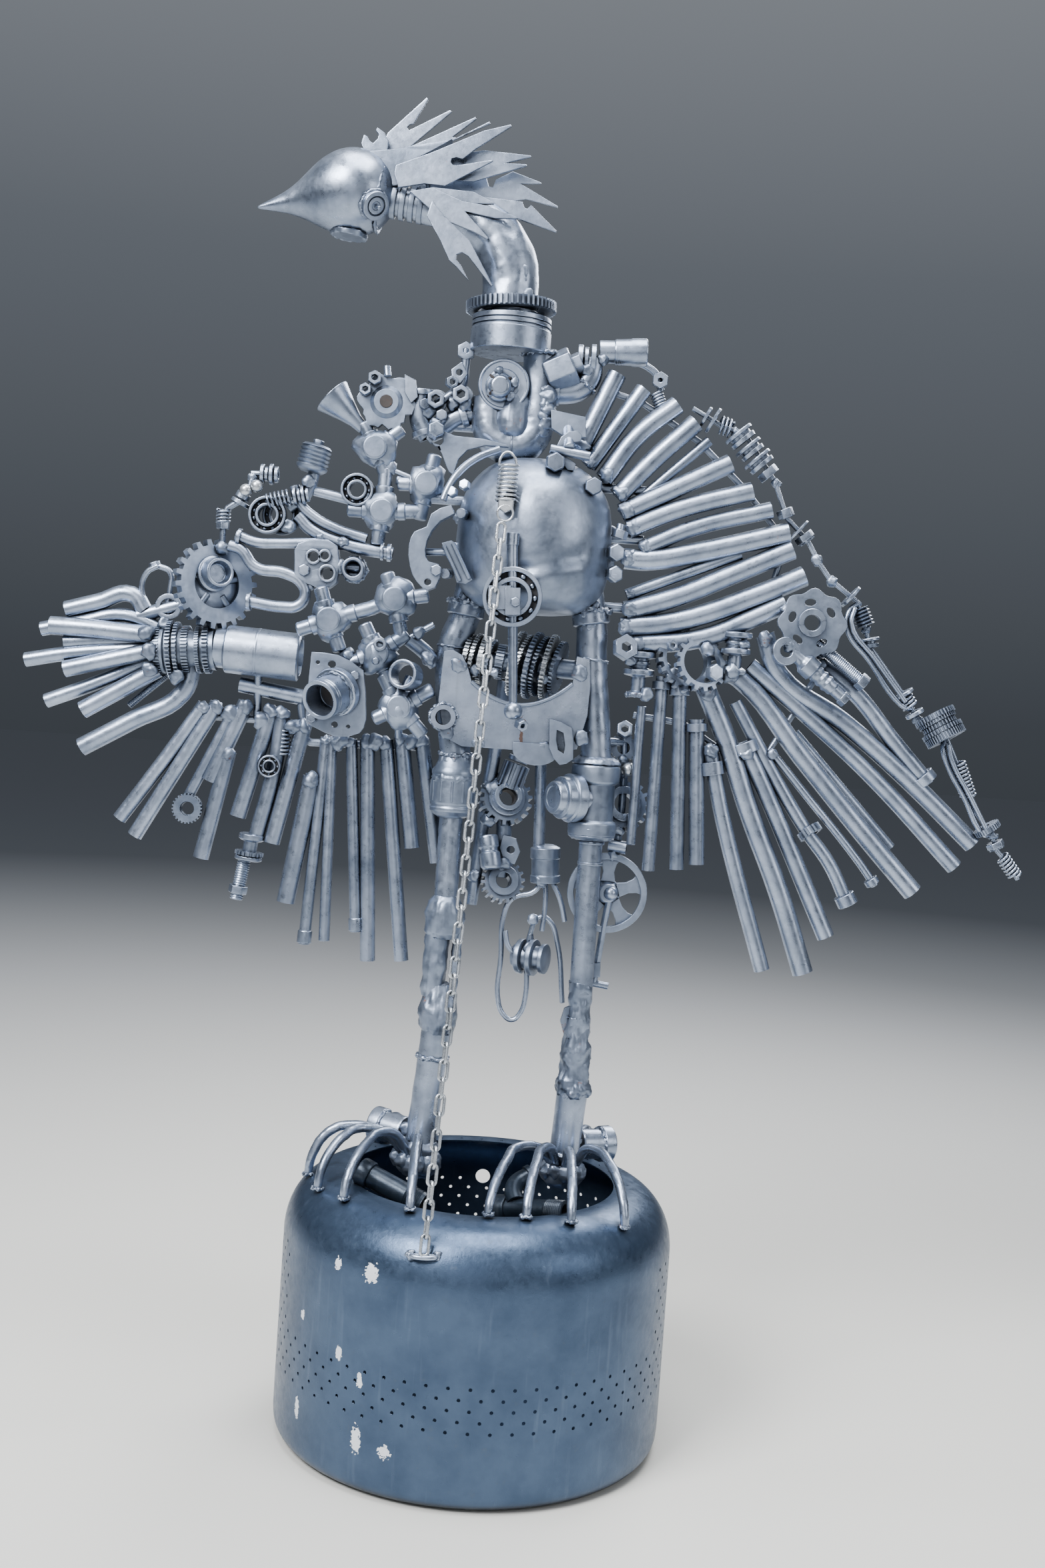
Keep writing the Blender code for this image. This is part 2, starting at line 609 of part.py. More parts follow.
LOWER_TUBES = (
    (21, (361, 10, 989), (415, 10, 953), (517, 10, 845)),
    (24, (302, 10, 1014), (323, 10, 967), (407, 10, 913), (578, 10, 774)),
    (21, (286, 10, 975), (446, 10, 850), (558, 10, 744)),
    (15, (349, 22, 895), (479, 22, 761)),
    (25, (252, 10, 968), (275, 10, 958), (441, 10, 779), (509, 10, 709)),
    (10, (319, 10, 873), (462, 10, 714)),
    (17, (272, 10, 929), (323, 10, 847), (404, 10, 736), (428, 10, 692)),
    (22, (288, 10, 875), (307, 10, 841), (406, 10, 646)),
    (26, (233, 10, 945), (266, 10, 878), (381, 10, 599)),
    (20, (244, 10, 874), (268, 10, 782), (330, 10, 599)),
    (20, (226, 10, 904), (239, 10, 725)),
    (18, (202, 10, 950), (215, 10, 717)),
    (16, (180, 10, 954), (180, 10, 713)),
    (12, (157, 10, 916), (156, 10, 744)),
)
LOWER_UPPER_ROD = ((378, 982), (346, 920), (316, 866), (280, 856), (210, 898), (148, 904))

# Left wing

FINGERS = (
    (18, (-559, 10, 985), (-479, 10, 1009), (-462, 10, 990)),
    (15, (-588, 10, 959), (-486, 10, 983), (-440, 10, 968)),
    (20, (-575, 2, 964), (-531, 2, 964), (-440, 2, 960)),
    (20, (-559, 14, 945), (-494, 14, 952), (-440, 14, 952)),
    (15, (-605, 8, 920), (-549, 8, 932), (-440, 8, 946)),
    (18, (-554, 0, 912), (-440, 0, 944)),
    (15, (-578, 12, 871), (-520, 12, 896), (-440, 12, 936)),
    (19, (-530, 2, 863), (-440, 4, 920)),
    (10, (-476, 14, 872), (-422, 14, 922)),
    (20, (-531, 10, 817), (-410, 10, 892), (-398, 10, 934)),
)
FEATHERS = (
    (15, (-481, 20, 731), (-419, 20, 824), (-384, 20, 880)),
    (16, (-461, 20, 711), (-368, 20, 882)),
    (12, (-399, 20, 760), (-350, 20, 868)),
    (18, (-372, 20, 786), (-332, 20, 886)),
    (17, (-377, 20, 689), (-350, 20, 824)),
    (18, (-334, 20, 744), (-299, 20, 882)),
    (17, (-310, 20, 720), (-292, 20, 810), (-286, 20, 880)),
    (18, (-290, 20, 714), (-258, 20, 866)),
    (20, (-268, 20, 641), (-245, 20, 800)),
    (13, (-242, 20, 590), (-230, 20, 850)),
    (12, (-217, 20, 596), (-223, 20, 850)),
    (13, (-178, 20, 610), (-199, 20, 850)),
    (16, (-161, 20, 575), (-179, 20, 852)),
    (15, (-119, 20, 578), (-156, 20, 852)),
    (17, (-115, 20, 720), (-137, 20, 858)),
    (16, (-82, 20, 704), (-112, 20, 858)),
)
FEATHER_BAR = ((-396, 866), (-290, 866), (-250, 842), (-104, 846))
CROSSES = (
    # centre, then the ends of its arms
    ((-231, -20, 994), ((-243, -20, 1029), (-179, -20, 1012), (-217, -20, 960), (-266, -20, 980))),
    ((-153, -20, 1024), ((-164, -20, 1052), (-116, -20, 1031), (-142, -20, 980), (-182, -20, 1011))),
    ((-170, -20, 957), ((-187, -20, 989), (-138, -20, 982), (-204, -20, 943), (-154, -20, 925))),
    ((-139, -20, 894), ((-160, -20, 930), (-103, -20, 917), (-110, -20, 864), (-167, -20, 879))),
)
SHOULDER_CROSSES = (
    ((-190, 0, 1206), ((-206, 0, 1233), (-162, 0, 1230), (-176, 0, 1176))),
    ((-177, 0, 1130), ((-176, 0, 1180), (-216, 0, 1130), (-132, 0, 1134), (-181, 0, 1093))),
    ((-125, 0, 1167), ((-118, 0, 1200), (-157, 0, 1166), (-131, 0, 1127))),
)


def rods(rows):
    return [tube(points, diameter, 6) for diameter, *points in rows]


def frame_rod(route, depth, diameter=FRAME_ROD):
    """A bent rod that crosses the back of a row of tubes and holds them."""
    return tube([(x, depth, z) for x, z in route], diameter, 4)


def make_upper_tubes(dome, hip):
    lugs = [tube([(144, 6, z), (40, 6, z)], 12, 4) for z in (1178, 1118, 1034)]
    pieces = rods(UPPER_TUBES) + [frame_rod(UPPER_OUTER_ROD, 8)] + lugs
    return finish(clear(fuse("right_upper_tubes", pieces), dome, hip), "right_upper_tubes")


def make_lower_tubes(*neighbours):
    pieces = rods(LOWER_TUBES) + [frame_rod(LOWER_UPPER_ROD, 18)]
    return finish(clear(fuse("right_lower_tubes", pieces), *neighbours), "right_lower_tubes")


def make_spool(name, x, top, bottom, *neighbours):
    """A turned spool with a flange under it, upright."""
    h = top - bottom
    spool = turned([(0, 14), (6, 14), (8, 9), (h * 0.45, 9), (h * 0.5, 19), (h * 0.62, 19), (h * 0.66, 12),
                    (h * 0.84, 12), (h * 0.88, 20), (h, 20)], (x, 2, bottom), UP, 10)
    return finish(clear(spool, *neighbours), name)


def make_wing_gears(*neighbours):
    """Two big gears side by side, turned a little to the front, that carry the lower tubes."""
    way = (0.35, -0.9, 0.25)
    first = gear((206, 4, 976), way, 38, 33, 0, 9, 14)
    second = gear((222, -8, 972), way, 34, 30, 0, 9, 12)
    hub = turned([(0, 14), (34, 14)], (208, 10, 974), way, 10)
    return finish(clear(fuse("right_wing_gears", [first, second, hub]), *neighbours), "right_wing_gears")


def make_right_stator(*neighbours):
    """The slotted plate where the upper tubes meet the lower ones."""
    edge = [(312, 1040), (330, 1070), (362, 1068), (392, 1046), (400, 1012), (378, 990), (340, 992), (318, 1010)]
    solid = plate([edge, circle(353, 1031, 12, 8)], -14, 8)
    shock = turned([(0, 8), (14, 9), (22, 14), (34, 14), (36, 9), (66, 9), (68, 7), (84, 7)], (335, -12, 994),
                   (0.78, 0, -0.62), 8)
    bolt = tube([(352, -8, 1016), (426, -8, 961)], 15, 6)
    return finish(clear(fuse("right_stator_plate", [solid, shock, bolt]), *neighbours), "right_stator_plate")


def make_edge_string(*neighbours):
    """Small parts threaded and welded end to end along the wing's upper edge."""
    route = [(192, 1281), (229, 1262), (258, 1254), (299, 1199), (316, 1157), (344, 1131), (360, 1105), (375, 1086),
             (410, 1061), (422, 1034), (429, 1009), (482, 944), (499, 918), (527, 915), (549, 871), (567, 827),
             (599, 786), (607, 768), (625, 751), (635, 735)]
    pieces = [tube([(x, 0, z) for x, z in route], STRING_ROD, 4)]
    beads = (
        # where along the string, the next point, radius, length, sides
        ((241, 1262), (258, 1254), 16, 5, 8), ((254, 1252), (299, 1199), 15, 14, 8),
        ((278, 1222), (299, 1199), 15, 12, 8), ((290, 1208), (299, 1199), 11, 12, 6),
        ((309, 1172), (318, 1154), 12, 18, 6), ((337, 1138), (350, 1122), 12, 14, 6),
        ((404, 1064), (412, 1058), 10, 8, 6), ((415, 1050), (424, 1030), 12, 24, 6),
        ((480, 944), (498, 920), 13, 8, 6), ((549, 874), (567, 830), 9, 44, 6),
        ((592, 794), (604, 778), 15, 10, 8), ((602, 778), (610, 764), 12, 14, 6),
        ((620, 757), (636, 734), 8, 26, 6),
    )
    for (x, z), (tx, tz), radius, length, sides in beads:
        pieces.append(disc((x, 0, z), (tx - x, 0, tz - z), radius, length, sides))
    pieces.append(turned([(0, 26), (14, 26), (16, 21), (22, 21), (24, 25), (35, 25)], (515, 0, 930),
                         (0.5, -0.2, -0.84), 10))
    pieces.append(tube([(414, 2, 1060), (401, -7, 1036), (472, -7, 940), (490, 2, 934)], 7, 4))
    pieces.append(tube([(533, 2, 905), (530, -7, 880), (584, -7, 790), (599, 2, 786)], 7, 4))
    return finish(clear(fuse("right_edge_string", pieces), *neighbours), "right_edge_string")


def make_sleeve():
    """The fat sleeve that is the wing's forearm."""
    r = SLEEVE_RADIUS
    profile = [(0, r - 5), (12, r - 5), (14, r), (103, r), (105, r - 3)]
    return finish(turned(profile, (-371, 6, 951), (1, 0, -0.05), 12), "left_sleeve")


def make_hand(sleeve):
    """Ten finger pipes gathered in a pack of gearbox rings at the wrist."""
    wrist = turned([(0, 29), (16, 29), (18, 36), (30, 36), (33, 26), (46, 29), (50, 24), (56, 28), (76, 27)],
                   (-447, 8, 942), (1, 0, 0.09), 10)
    key_ring = turned([(0, 10), (3, 10), (3, 16), (0, 16)], (-432, 4, 997), TO_FRONT, 8, ring=True)
    stub = tube([(-468, 10, 984), (-419, 10, 1000)], 18, 8)
    link = tube([(-440, 8, 980), (-432, 8, 1040), (-448, 8, 1046)], 7, 4)
    pieces = rods(FINGERS) + [wrist, key_ring, stub, link]
    return finish(clear(fuse("left_hand", pieces), sleeve), "left_hand")


def make_feathers(*neighbours):
    risers = [tube([(-318, 24, 866), (-318, 8, 940)], 10, 6), tube([(-140, 24, 842), (-140, -10, 880)], 10, 6)]
    small = [turned([(0, 18), (8, 18)], (-396, 14, 750), TO_BACK, 10),
             turned([(0, 17), (6, 17), (8, 9), (24, 9), (26, 16), (34, 16)], (-318, 20, 690), (0.1, 0, 1), 10),
             tube([(-330, 20, 644), (-322, 20, 692)], 17, 8), disc((-296, 8, 810), TO_BACK, 14, 12, 6),
             disc((-283, 20, 832), UP, 9, 30, 8), tube([(-339, 20, 908), (-326, 20, 906), (-262, 20, 897)], 20, 8),
             tube([(-266, 20, 898), (-258, 20, 850)], 10, 6)]
    pieces = rods(FEATHERS) + [frame_rod(FEATHER_BAR, 26, 10)] + risers + small
    return finish(clear(fuse("left_feathers", pieces), *neighbours), "left_feathers")


def cross(centre, arms):
    """A joint cross: bearing cups that run out from one centre, one bar a little in front of the other."""
    x, y, z = centre
    bars = [tube([arms[0], centre, arms[2]], CROSS_ARM, 6)]
    return bars + [tube([(x, y - 1, z), (arm[0], arm[1] - 1, arm[2])], CROSS_ARM - 1, 6) for arm in arms[1::2]]


def make_crosses(*neighbours):
    pieces = [piece for centre, arms in CROSSES for piece in cross(centre, arms)]
    last = tube([(-134, -14, 978), (-112, -6, 962), (-100, 0, 950)], CROSS_ARM, 8)
    link = tube([(-134, -18, 978), (-104, -18, 997)], 8, 6)
    solid = clear(fuse("left_crosses", pieces + [last, link]), *neighbours)
    return finish(solid, "left_crosses")


def make_shoulder_crosses(*neighbours):
    pieces = [piece for centre, arms in SHOULDER_CROSSES for piece in cross(centre, arms)]
    bearing = turned([(0, 20), (16, 20)], (-209, 6, 1154), TO_FRONT, 12)
    arm = tube([(-125, 0, 1150), (-60, 0, 1150)], 12, 6)
    return finish(clear(fuse("left_shoulder_crosses", pieces + [bearing, arm]), *neighbours), "left_shoulder_crosses")


def make_shoulder_elbows(*neighbours):
    """Pipe elbows and nuts between the stator plate and the neck."""
    first = tube([(-138, 6, 1276), (-137, 6, 1246), (-128, 6, 1222)], 29, 8)
    second = tube([(-128, 6, 1232), (-78, 6, 1256)], 25, 6)
    nuts = [nut((x, -4, z), TO_FRONT, 22, 12) for x, z in ((-120, 1268), (-90, 1276))]
    bar = tube([(-120, -2, 1264), (-88, -2, 1284), (-88, -2, 1334)], 11, 6)
    cap = nut((-88, 4, 1330), TO_FRONT, 22, 14)
    arm = tube([(-100, 6, 1240), (-46, 6, 1240)], 12, 4)
    solid = fuse("left_shoulder_elbows", [first, second, *nuts, bar, cap, arm])
    return finish(clear(solid, *neighbours), "left_shoulder_elbows")


def make_left_stator(*neighbours):
    edge = [(-215, 1262), (-200, 1292), (-172, 1298), (-150, 1276), (-152, 1240), (-176, 1230), (-206, 1236)]
    solid = plate([edge, circle(-178, 1260, 10, 8)], -2, 10)
    cone = turned([(0, 8), (26, 13), (50, 22), (56, 22)], (-206, 0, 1228), (-0.72, 0, 0.66), 10)
    return finish(clear(fuse("left_stator_plate", [solid, cone]), *neighbours), "left_stator_plate")


def make_left_gear(*neighbours):
    """The tall gear over the wrist, with its hub cup and the small parts on its rim."""
    wheel = gear((-377, 4, 1028), (0.75, -1, 0.1), 54, 49, 0, 14, 18)
    cup = turned([(0, 20), (24, 18), (24, 13), (12, 11), (12, 0.1)], (-380, 0, 1040), (0.7, -1, 0.1), 10)
    edge = tube([(-370, 4, 1066), (-371, 2, 1110), (-348, 0, 1134), (-338, 0, 1166), (-318, 0, 1166)], 8, 6)
    beads = [disc((-371, 2, 1104), UP, 9, 16, 6), disc((-352, 0, 1128), (0.5, 0, 1), 9, 10, 8),
             disc((-326, 0, 1166), RIGHT, 9, 14, 8)]
    return finish(clear(fuse("left_gear", [wheel, cup, edge, *beads]), *neighbours), "left_gear")


def make_left_pipes(*neighbours):
    """Bent pipes, the valve body and two bearings between the gear and the chest."""
    pipes = [
        tube([(-282, 0, 1146), (-263, 0, 1118), (-194, 0, 1096)], 13, 6),
        tube([(-276, 0, 1112), (-219, 0, 1087), (-161, 0, 1080)], 16, 6),
        tube([(-348, -8, 1089), (-327, -8, 1080), (-250, -4, 1087)], 13, 6),
        tube([(-356, -8, 1074), (-327, -8, 1052), (-282, -6, 1046), (-266, -6, 1034), (-264, -6, 1018),
              (-278, -6, 1006), (-330, -6, 1010)], 14, 6),
    ]
    valve = plate([[(-280, 1076), (-262, 1090), (-228, 1084), (-226, 1040), (-250, 1032), (-278, 1044)]], -2, 20)
    mouth = turned([(0, 14), (26, 14), (26, 9), (10, 9)], (-207, 8, 1058), TO_FRONT, 10)
    joint = tube([(-236, 0, 1060), (-200, 0, 1060)], 14, 6)
    bearings = [disc((-316, 4, 1116), TO_FRONT, 22, 16, 10), disc((-300, 12, 1118), TO_FRONT, 24, 10, 10)]
    cylinder = turned([(0, 15), (4, 19), (30, 19), (34, 15)], (-268, 2, 1172), (0.2, 0, 1), 10)
    arm = tube([(-290, 2, 1128), (-268, 2, 1150), (-262, 2, 1180)], 15, 8)
    reach = tube([(-262, 4, 1150), (-206, 4, 1140)], 12, 6)
    pieces = pipes + [valve, mouth, joint, *bearings, cylinder, arm, reach]
    return finish(clear(fuse("left_pipes", pieces), *neighbours), "left_pipes")


def make_collar_plate(*neighbours):
    """The flanged plate with a pipe's mouth on it, at the root of the feathers."""
    edge = [(-252, 946), (-214, 944), (-180, 936), (-174, 873), (-197, 854), (-228, 858), (-256, 877)]
    flange = plate([edge], -32, 8)
    way = Vector((-0.42, -0.85, -0.3))
    mouth = turned([(0, 20), (30, 20), (31, 23), (40, 23), (40, 17), (16, 17)], (-214, -36, 908), way, 12)
    return finish(clear(fuse("collar_plate", [flange, mouth]), *neighbours), "collar_plate")


def make_brake_arm(*neighbours):
    """The crescent of a brake shoe in front of the wing's root, and the bar beside it."""
    outer, inner = [], []
    for angle in (-150, -125, -95, -65, -40, -15, 5):
        a = math.radians(angle)
        outer.append((-70 + 66 * math.sin(a), 1090 + 66 * math.cos(a) * 0.72))
        inner.append((-70 + 46 * math.sin(a), 1090 + 46 * math.cos(a) * 0.72))
    shoe = plate([outer + inner[::-1]], -72, 20)
    bolt = nut((-106, -79, 1058), TO_FRONT, 13, 8)
    foot = tube([(-90, -70, 1060), (-90, -10, 1060)], 12, 6)
    head_rod = tube([(-78, -70, 1130), (-70, -20, 1130)], 12, 6)
    return finish(clear(fuse("brake_arm", [shoe, bolt, foot, head_rod]), *neighbours), "brake_arm")


# Things round the neck's foot

def make_hub_washer(*neighbours):
    face = washer((-39, -20, 1290), TO_FRONT, 31, 16, 9, 16)
    knob = turned([(0, 17), (10, 17), (12, 14), (20, 12), (24, 6)], (-44, -20, 1286), TO_FRONT, 10)
    return finish(clear(fuse("hub_washer", [face, knob]), *neighbours), "hub_washer")


def make_dome_bracket(*neighbours):
    """A three-armed bracket, a curved band and a hooked spanner lying on the dome's top."""
    bracket = plate([[(-118, 1222), (-104, 1226), (-80, 1216), (-44, 1222), (-42, 1206), (-78, 1202), (-88, 1180),
                      (-98, 1184), (-98, 1206), (-118, 1208)]], -34, 8)
    band = tube([(-22, -46, 1188), (-44, -42, 1204), (-76, -56, 1190), (-94, -60, 1168), (-100, -62, 1140)], 12, 6)
    return finish(clear(fuse("dome_bracket", [bracket, band]), *neighbours), "dome_bracket")


def make_hook(*neighbours):
    clip = plate([[(20, 1262), (62, 1256), (64, 1232), (40, 1230), (22, 1240)]], -30, 12)
    stem = tube([(42, -30, 1242), (44, -62, 1216)], 14, 6)
    bolts = [nut((x, -56, z), TO_FRONT, 22, 16) for x, z in ((26, 1208), (66, 1200))]
    bar = tube([(22, -62, 1212), (70, -62, 1206)], 12, 6)
    arm = tube([(40, -30, 1250), (4, -12, 1258)], 10, 6)
    return finish(clear(fuse("dome_hook", [clip, stem, *bolts, bar, arm]), *neighbours), "dome_hook")


def make_coupling(*neighbours):
    """Sockets, an elbow and a pipe coupling that run out to the right of the neck's foot."""
    socket = turned([(0, 19), (34, 19), (34, 14), (46, 14)], (14, 2, 1316), (1, 0, 0.04), 8)
    elbow = tube([(18, 2, 1292), (50, 2, 1292), (63, 2, 1304), (66, 2, 1330)], 29, 6)
    rings = [disc((x, 2, 1330), RIGHT, 18, 7, 8) for x in (50, 62)]
    pipe = turned([(0, 14), (38, 16), (58, 16), (58, 12), (24, 12)], (74, 2, 1341), (1, 0, 0.06), 8)
    rod = tube([(116, 6, 1332), (147, 6, 1317), (152, 6, 1300)], 9, 4)
    end = nut((150, -4, 1312), TO_BACK, 20, 14)
    return finish(clear(fuse("neck_coupling", [socket, elbow, *rings, pipe, rod, end]), *neighbours), "neck_coupling")


# Tail

def make_tail_gears(*neighbours):
    """A pipe that hangs between the legs, with gears stacked on it."""
    pipe = tube([(-14, 12, 936), (-20, 30, 850), (-30, 36, 740), (-38, 36, 653)], 17, 8)
    upper = gear((-4, 34, 787), (0.25, -1, 0.3), 33, 29, 0, 20, 12)
    lower = gear((0, 34, 684), (0.2, -1, 0.3), 27, 24, 0, 14, 10)
    helical = disc((4, 30, 818), (0.3, 0, 1), 16, 34, 10)
    brace = tube([(-14, 34, 780), (-2, 34, 740), (-4, 34, 690)], 20, 8)
    return finish(clear(fuse("tail_gears", [pipe, upper, lower, helical, brace]), *neighbours), "tail_gears")


def make_tail_sleeve(*neighbours):
    pipe = tube([(34, 12, 936), (38, 30, 840), (44, 30, 700)], 15, 8)
    sleeve = turned([(0, 19), (44, 19), (46, 14)], (54, 30, 687), (-0.06, 0, 1), 10)
    loops = tube([(50, 30, 694), (6, 30, 655), (6, 30, 531), (24, 30, 512), (40, 30, 534), (39, 30, 622),
                  (52, 30, 644), (75, 30, 612), (86, 30, 537)], 6.5, 4)
    rotor = turned([(0, 20), (8, 20), (10, 12), (18, 12), (20, 21), (28, 21)], (42, 30, 592), (0.5, -0.8, 0), 8)
    return finish(clear(fuse("tail_sleeve", [pipe, sleeve, loops, rotor]), *neighbours), "tail_sleeve")


def make_tail_wheel(*neighbours):
    """A small spoked wheel behind the right leg, with the gears above it."""
    x, y, z = 132, 32, 680
    spokes = 5
    pieces = [washer((x, y + 4, z), TO_FRONT, 50, 43, 8, 12), disc((x, y + 8, z), TO_FRONT, 12, 16, 6)]
    for i in range(spokes):
        angle = 2 * math.pi * i / spokes + 0.3
        pieces.append(tube([(x, y, z), (x + 46 * math.cos(angle), y, z + 46 * math.sin(angle))], 6, 4))
    pieces.append(tube([(x + 4, y, z), (124, y, 566)], 7, 4))
    pieces.append(tube([(x + 8, y, z + 46), (143, y, 760), (140, y, 880)], 10, 6))
    pieces.append(gear((143, y, 791), (0.2, -1, 0.2), 33, 29, 0, 14, 12))
    pieces.append(disc((139, y + 6, 869), TO_FRONT, 17, 14, 8))
    pieces.append(tube([(139, y, 869), (106, 4, 869)], 10, 6))
    return finish(clear(fuse("tail_wheel", pieces), *neighbours), "tail_wheel")


# Assembly, from the ground up

drum = make_drum()
drum_envelope = turned(drum_profile(), (0, 0, 0), UP, DRUM_SIDES)
# each claw: where its tip lands (inset, degrees), then its highest bend (x, y, below the arch)
left_foot = make_foot("left", LEFT_HEEL_X, ((25.2, 184.8), (28.6, 203.4), (35.4, 219.4), (53, 245.4), (64.4, 137.8)),
                      ((-172, -10, 1), (-156, -30, -1), (-128, -50, -3), (-80, -60, 1), (-110, 50, 3)), drum_envelope)
right_foot = make_foot("right", RIGHT_HEEL_X, ((67.6, 274), (61, 288.2), (42, 303), (22, 322.1), (51.6, 42)),
                       ((40, -60, 1), (70, -70, -1), (106, -70, 3), (142, -50, 1), (124, 50, 3)), drum_envelope)
left_leg = make_leg_left()
right_leg = make_leg_right()
left_leg = clear(left_leg, left_foot)
right_leg = clear(right_leg, right_foot)
for side, x, way in (("left", -100, (-1, 0.5, 0.06)), ("right", 118, (1, 0.5, -0.06))):
    shin, foot = (left_leg, left_foot) if side == "left" else (right_leg, right_foot)
    heel = turned([(0, 19), (30, 19), (32, 23), (44, 23), (44, 18), (14, 18)], (x, 20, SOLE_HEIGHT + 17), way, 12)
    finish(clear(heel, shin, foot), side + "_heel_socket")
make_foot_pipe("left", (-146, -66, DRUM_HEIGHT + 14), (-66, -96, DRUM_HEIGHT - 14), 15, drum, left_foot, left_leg)
make_foot_pipe("right", (22, -86, DRUM_HEIGHT - 14), (102, -132, DRUM_HEIGHT), 14, drum, right_foot, right_leg)

dome = make_dome()
left_hip = finish(clear(make_hip("left", [(-62, 0, 1052), (-68, 0, 1010), (-80, 0, 972), (-78, 0, 910),
                                          (LEFT_HIP_X, 0, HIP_TOP - SEAT)]), dome, left_leg), "left_hip")
right_hip = finish(clear(make_hip("right", [(80, 0, 1052), (88, 0, 1010), (91, 0, 968), (98, 0, 910),
                                            (RIGHT_HIP_X, 0, HIP_TOP - SEAT)]), dome, right_leg), "right_hip")
saddle = make_saddle(left_hip, right_hip)
synchro_rings = make_synchro_rings(left_hip, right_hip, saddle, dome)
breast_rod = make_breast_rod(dome, saddle)
chest_spring = make_dome_spring(dome)
eye_place = on_shoulder(EYE_INSET, EYE_BEARING) - Vector((0, 0, 2.5))
drum_eye = make_drum_eye(eye_place, drum_envelope)
chain = make_chain((-28, -112, 1114), eye_place + Vector((0, -10, 4)), chest_spring, drum_eye, drum_envelope)
bpy.data.objects.remove(drum_envelope, do_unlink=True)

neck_base = make_neck_base(dome)
piston = make_piston()
collar_gear, gear_middle = make_collar_gear()
head = make_head()
neck = make_neck(gear_middle + COLLAR_GEAR_THICKNESS / 2, head)
near_eye = make_eye("near_eye", (29, -36, -23), head)
far_eye = make_eye("far_eye", (-30, 28, 32), head)
spanner = make_spanner(head)
blades = (
    # depth, base, prong tips, notch between them
    (14, ((-210, 1544), (-184, 1548)), ((-155, 1628), (-126, 1615)), (-160, 1588)),
    (8, ((-208, 1536), (-188, 1520)), ((-95, 1609), (-78, 1599)), (-108, 1586)),
    (-14, ((-192, 1543), (-186, 1518)), ((-52, 1603), (-71, 1560)), (-116, 1556)),
    (2, ((-184, 1532), (-168, 1518)), ((-25, 1572), (-28, 1554)), (-60, 1554)),
    (20, ((-176, 1530), (-160, 1508)), ((-11, 1539), (11, 1510)), (-73, 1524)),
    (8, ((-84, 1496), (-72, 1484)), ((14, 1486), (-6, 1466)), (-30, 1482)),
    (-8, ((-136, 1515), (-124, 1506)), ((-60, 1522), (-62, 1504)), (-84, 1514)),
    (-17, ((-172, 1520), (-160, 1498)), ((-37, 1496), (-72, 1467)), (-100, 1497)),
    (-22, ((-128, 1500), (-146, 1482)), ((-62, 1411), (-92, 1415)), (-94, 1440)),
)
for index, (depth, base, tips, notch) in enumerate(blades, 1):
    make_blade(index, depth, base, tips, notch, (head, neck))

right_upper = make_upper_tubes(dome, right_hip)
right_lower = make_lower_tubes(right_upper, right_hip, right_leg)
make_spool("right_spool_1", 150, 982, 926, right_upper, right_lower)
right_spool = make_spool("right_spool_2", 266, 1014, 962, right_upper, right_lower)
make_wing_gears(right_upper, right_lower, right_spool)
right_stator = make_right_stator(right_upper, right_lower)
make_edge_string(right_upper, right_lower, right_stator)

sleeve = make_sleeve()
hand = make_hand(sleeve)
crosses = make_crosses(sleeve, left_hip, left_leg, saddle)
feathers = make_feathers(sleeve, hand, crosses, left_leg)
collar_plate = make_collar_plate(crosses, feathers, sleeve)
left_gear = make_left_gear(sleeve, hand)
shoulder_crosses = make_shoulder_crosses(dome)
left_pipes = make_left_pipes(left_gear, crosses, shoulder_crosses, sleeve)
brake_arm = make_brake_arm(dome, crosses, shoulder_crosses)
hub_washer = make_hub_washer(neck_base)
elbows = make_shoulder_elbows(neck_base, piston, shoulder_crosses, hub_washer, dome)
make_left_stator(elbows, shoulder_crosses)
dome_bracket = make_dome_bracket(dome, elbows, hub_washer, neck_base, shoulder_crosses)
dome_hook = make_hook(dome, neck_base, hub_washer)
make_coupling(neck_base, piston, right_upper, dome_hook)

tail_gears = make_tail_gears(synchro_rings, saddle, left_leg, left_hip)
tail_sleeve = make_tail_sleeve(synchro_rings, saddle, tail_gears, right_leg)
make_tail_wheel(right_leg, right_hip, tail_sleeve, right_lower)

bpy.data.collections.remove(cutters)
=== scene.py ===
# A bird welded up from scrap pipe, gears, joint crosses and plate, on an upturned washing machine drum.
# Lengths in the tables are millimetres, in the CAD model's frame: +X to the right, -Y to the front, +Z up.
import math
import random

import bpy
from mathutils import Matrix, Vector, noise


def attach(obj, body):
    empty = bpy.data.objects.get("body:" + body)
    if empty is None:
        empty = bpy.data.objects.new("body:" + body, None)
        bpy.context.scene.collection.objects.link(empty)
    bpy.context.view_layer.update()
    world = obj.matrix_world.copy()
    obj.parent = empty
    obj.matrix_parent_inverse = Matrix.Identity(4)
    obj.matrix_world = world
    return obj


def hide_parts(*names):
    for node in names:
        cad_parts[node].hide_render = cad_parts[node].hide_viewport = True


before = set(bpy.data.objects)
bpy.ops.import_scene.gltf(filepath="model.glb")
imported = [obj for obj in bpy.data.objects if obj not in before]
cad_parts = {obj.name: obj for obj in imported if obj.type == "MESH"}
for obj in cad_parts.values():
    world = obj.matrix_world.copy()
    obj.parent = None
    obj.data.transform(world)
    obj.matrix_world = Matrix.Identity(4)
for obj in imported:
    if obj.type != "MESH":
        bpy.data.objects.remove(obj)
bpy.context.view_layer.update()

random.seed(7)
mm = 0.001
up, down, left, right, front, back = (0, 0, 1), (0, 0, -1), (-1, 0, 0), (1, 0, 0), (0, -1, 0), (0, 1, 0)


def clearSelection():
    if bpy.context.object and bpy.context.object.mode != "OBJECT":
        bpy.ops.object.mode_set(mode="OBJECT")
    bpy.ops.object.select_all(action="DESELECT")


def pick(piece):
    clearSelection()
    piece.select_set(True)
    bpy.context.view_layer.objects.active = piece


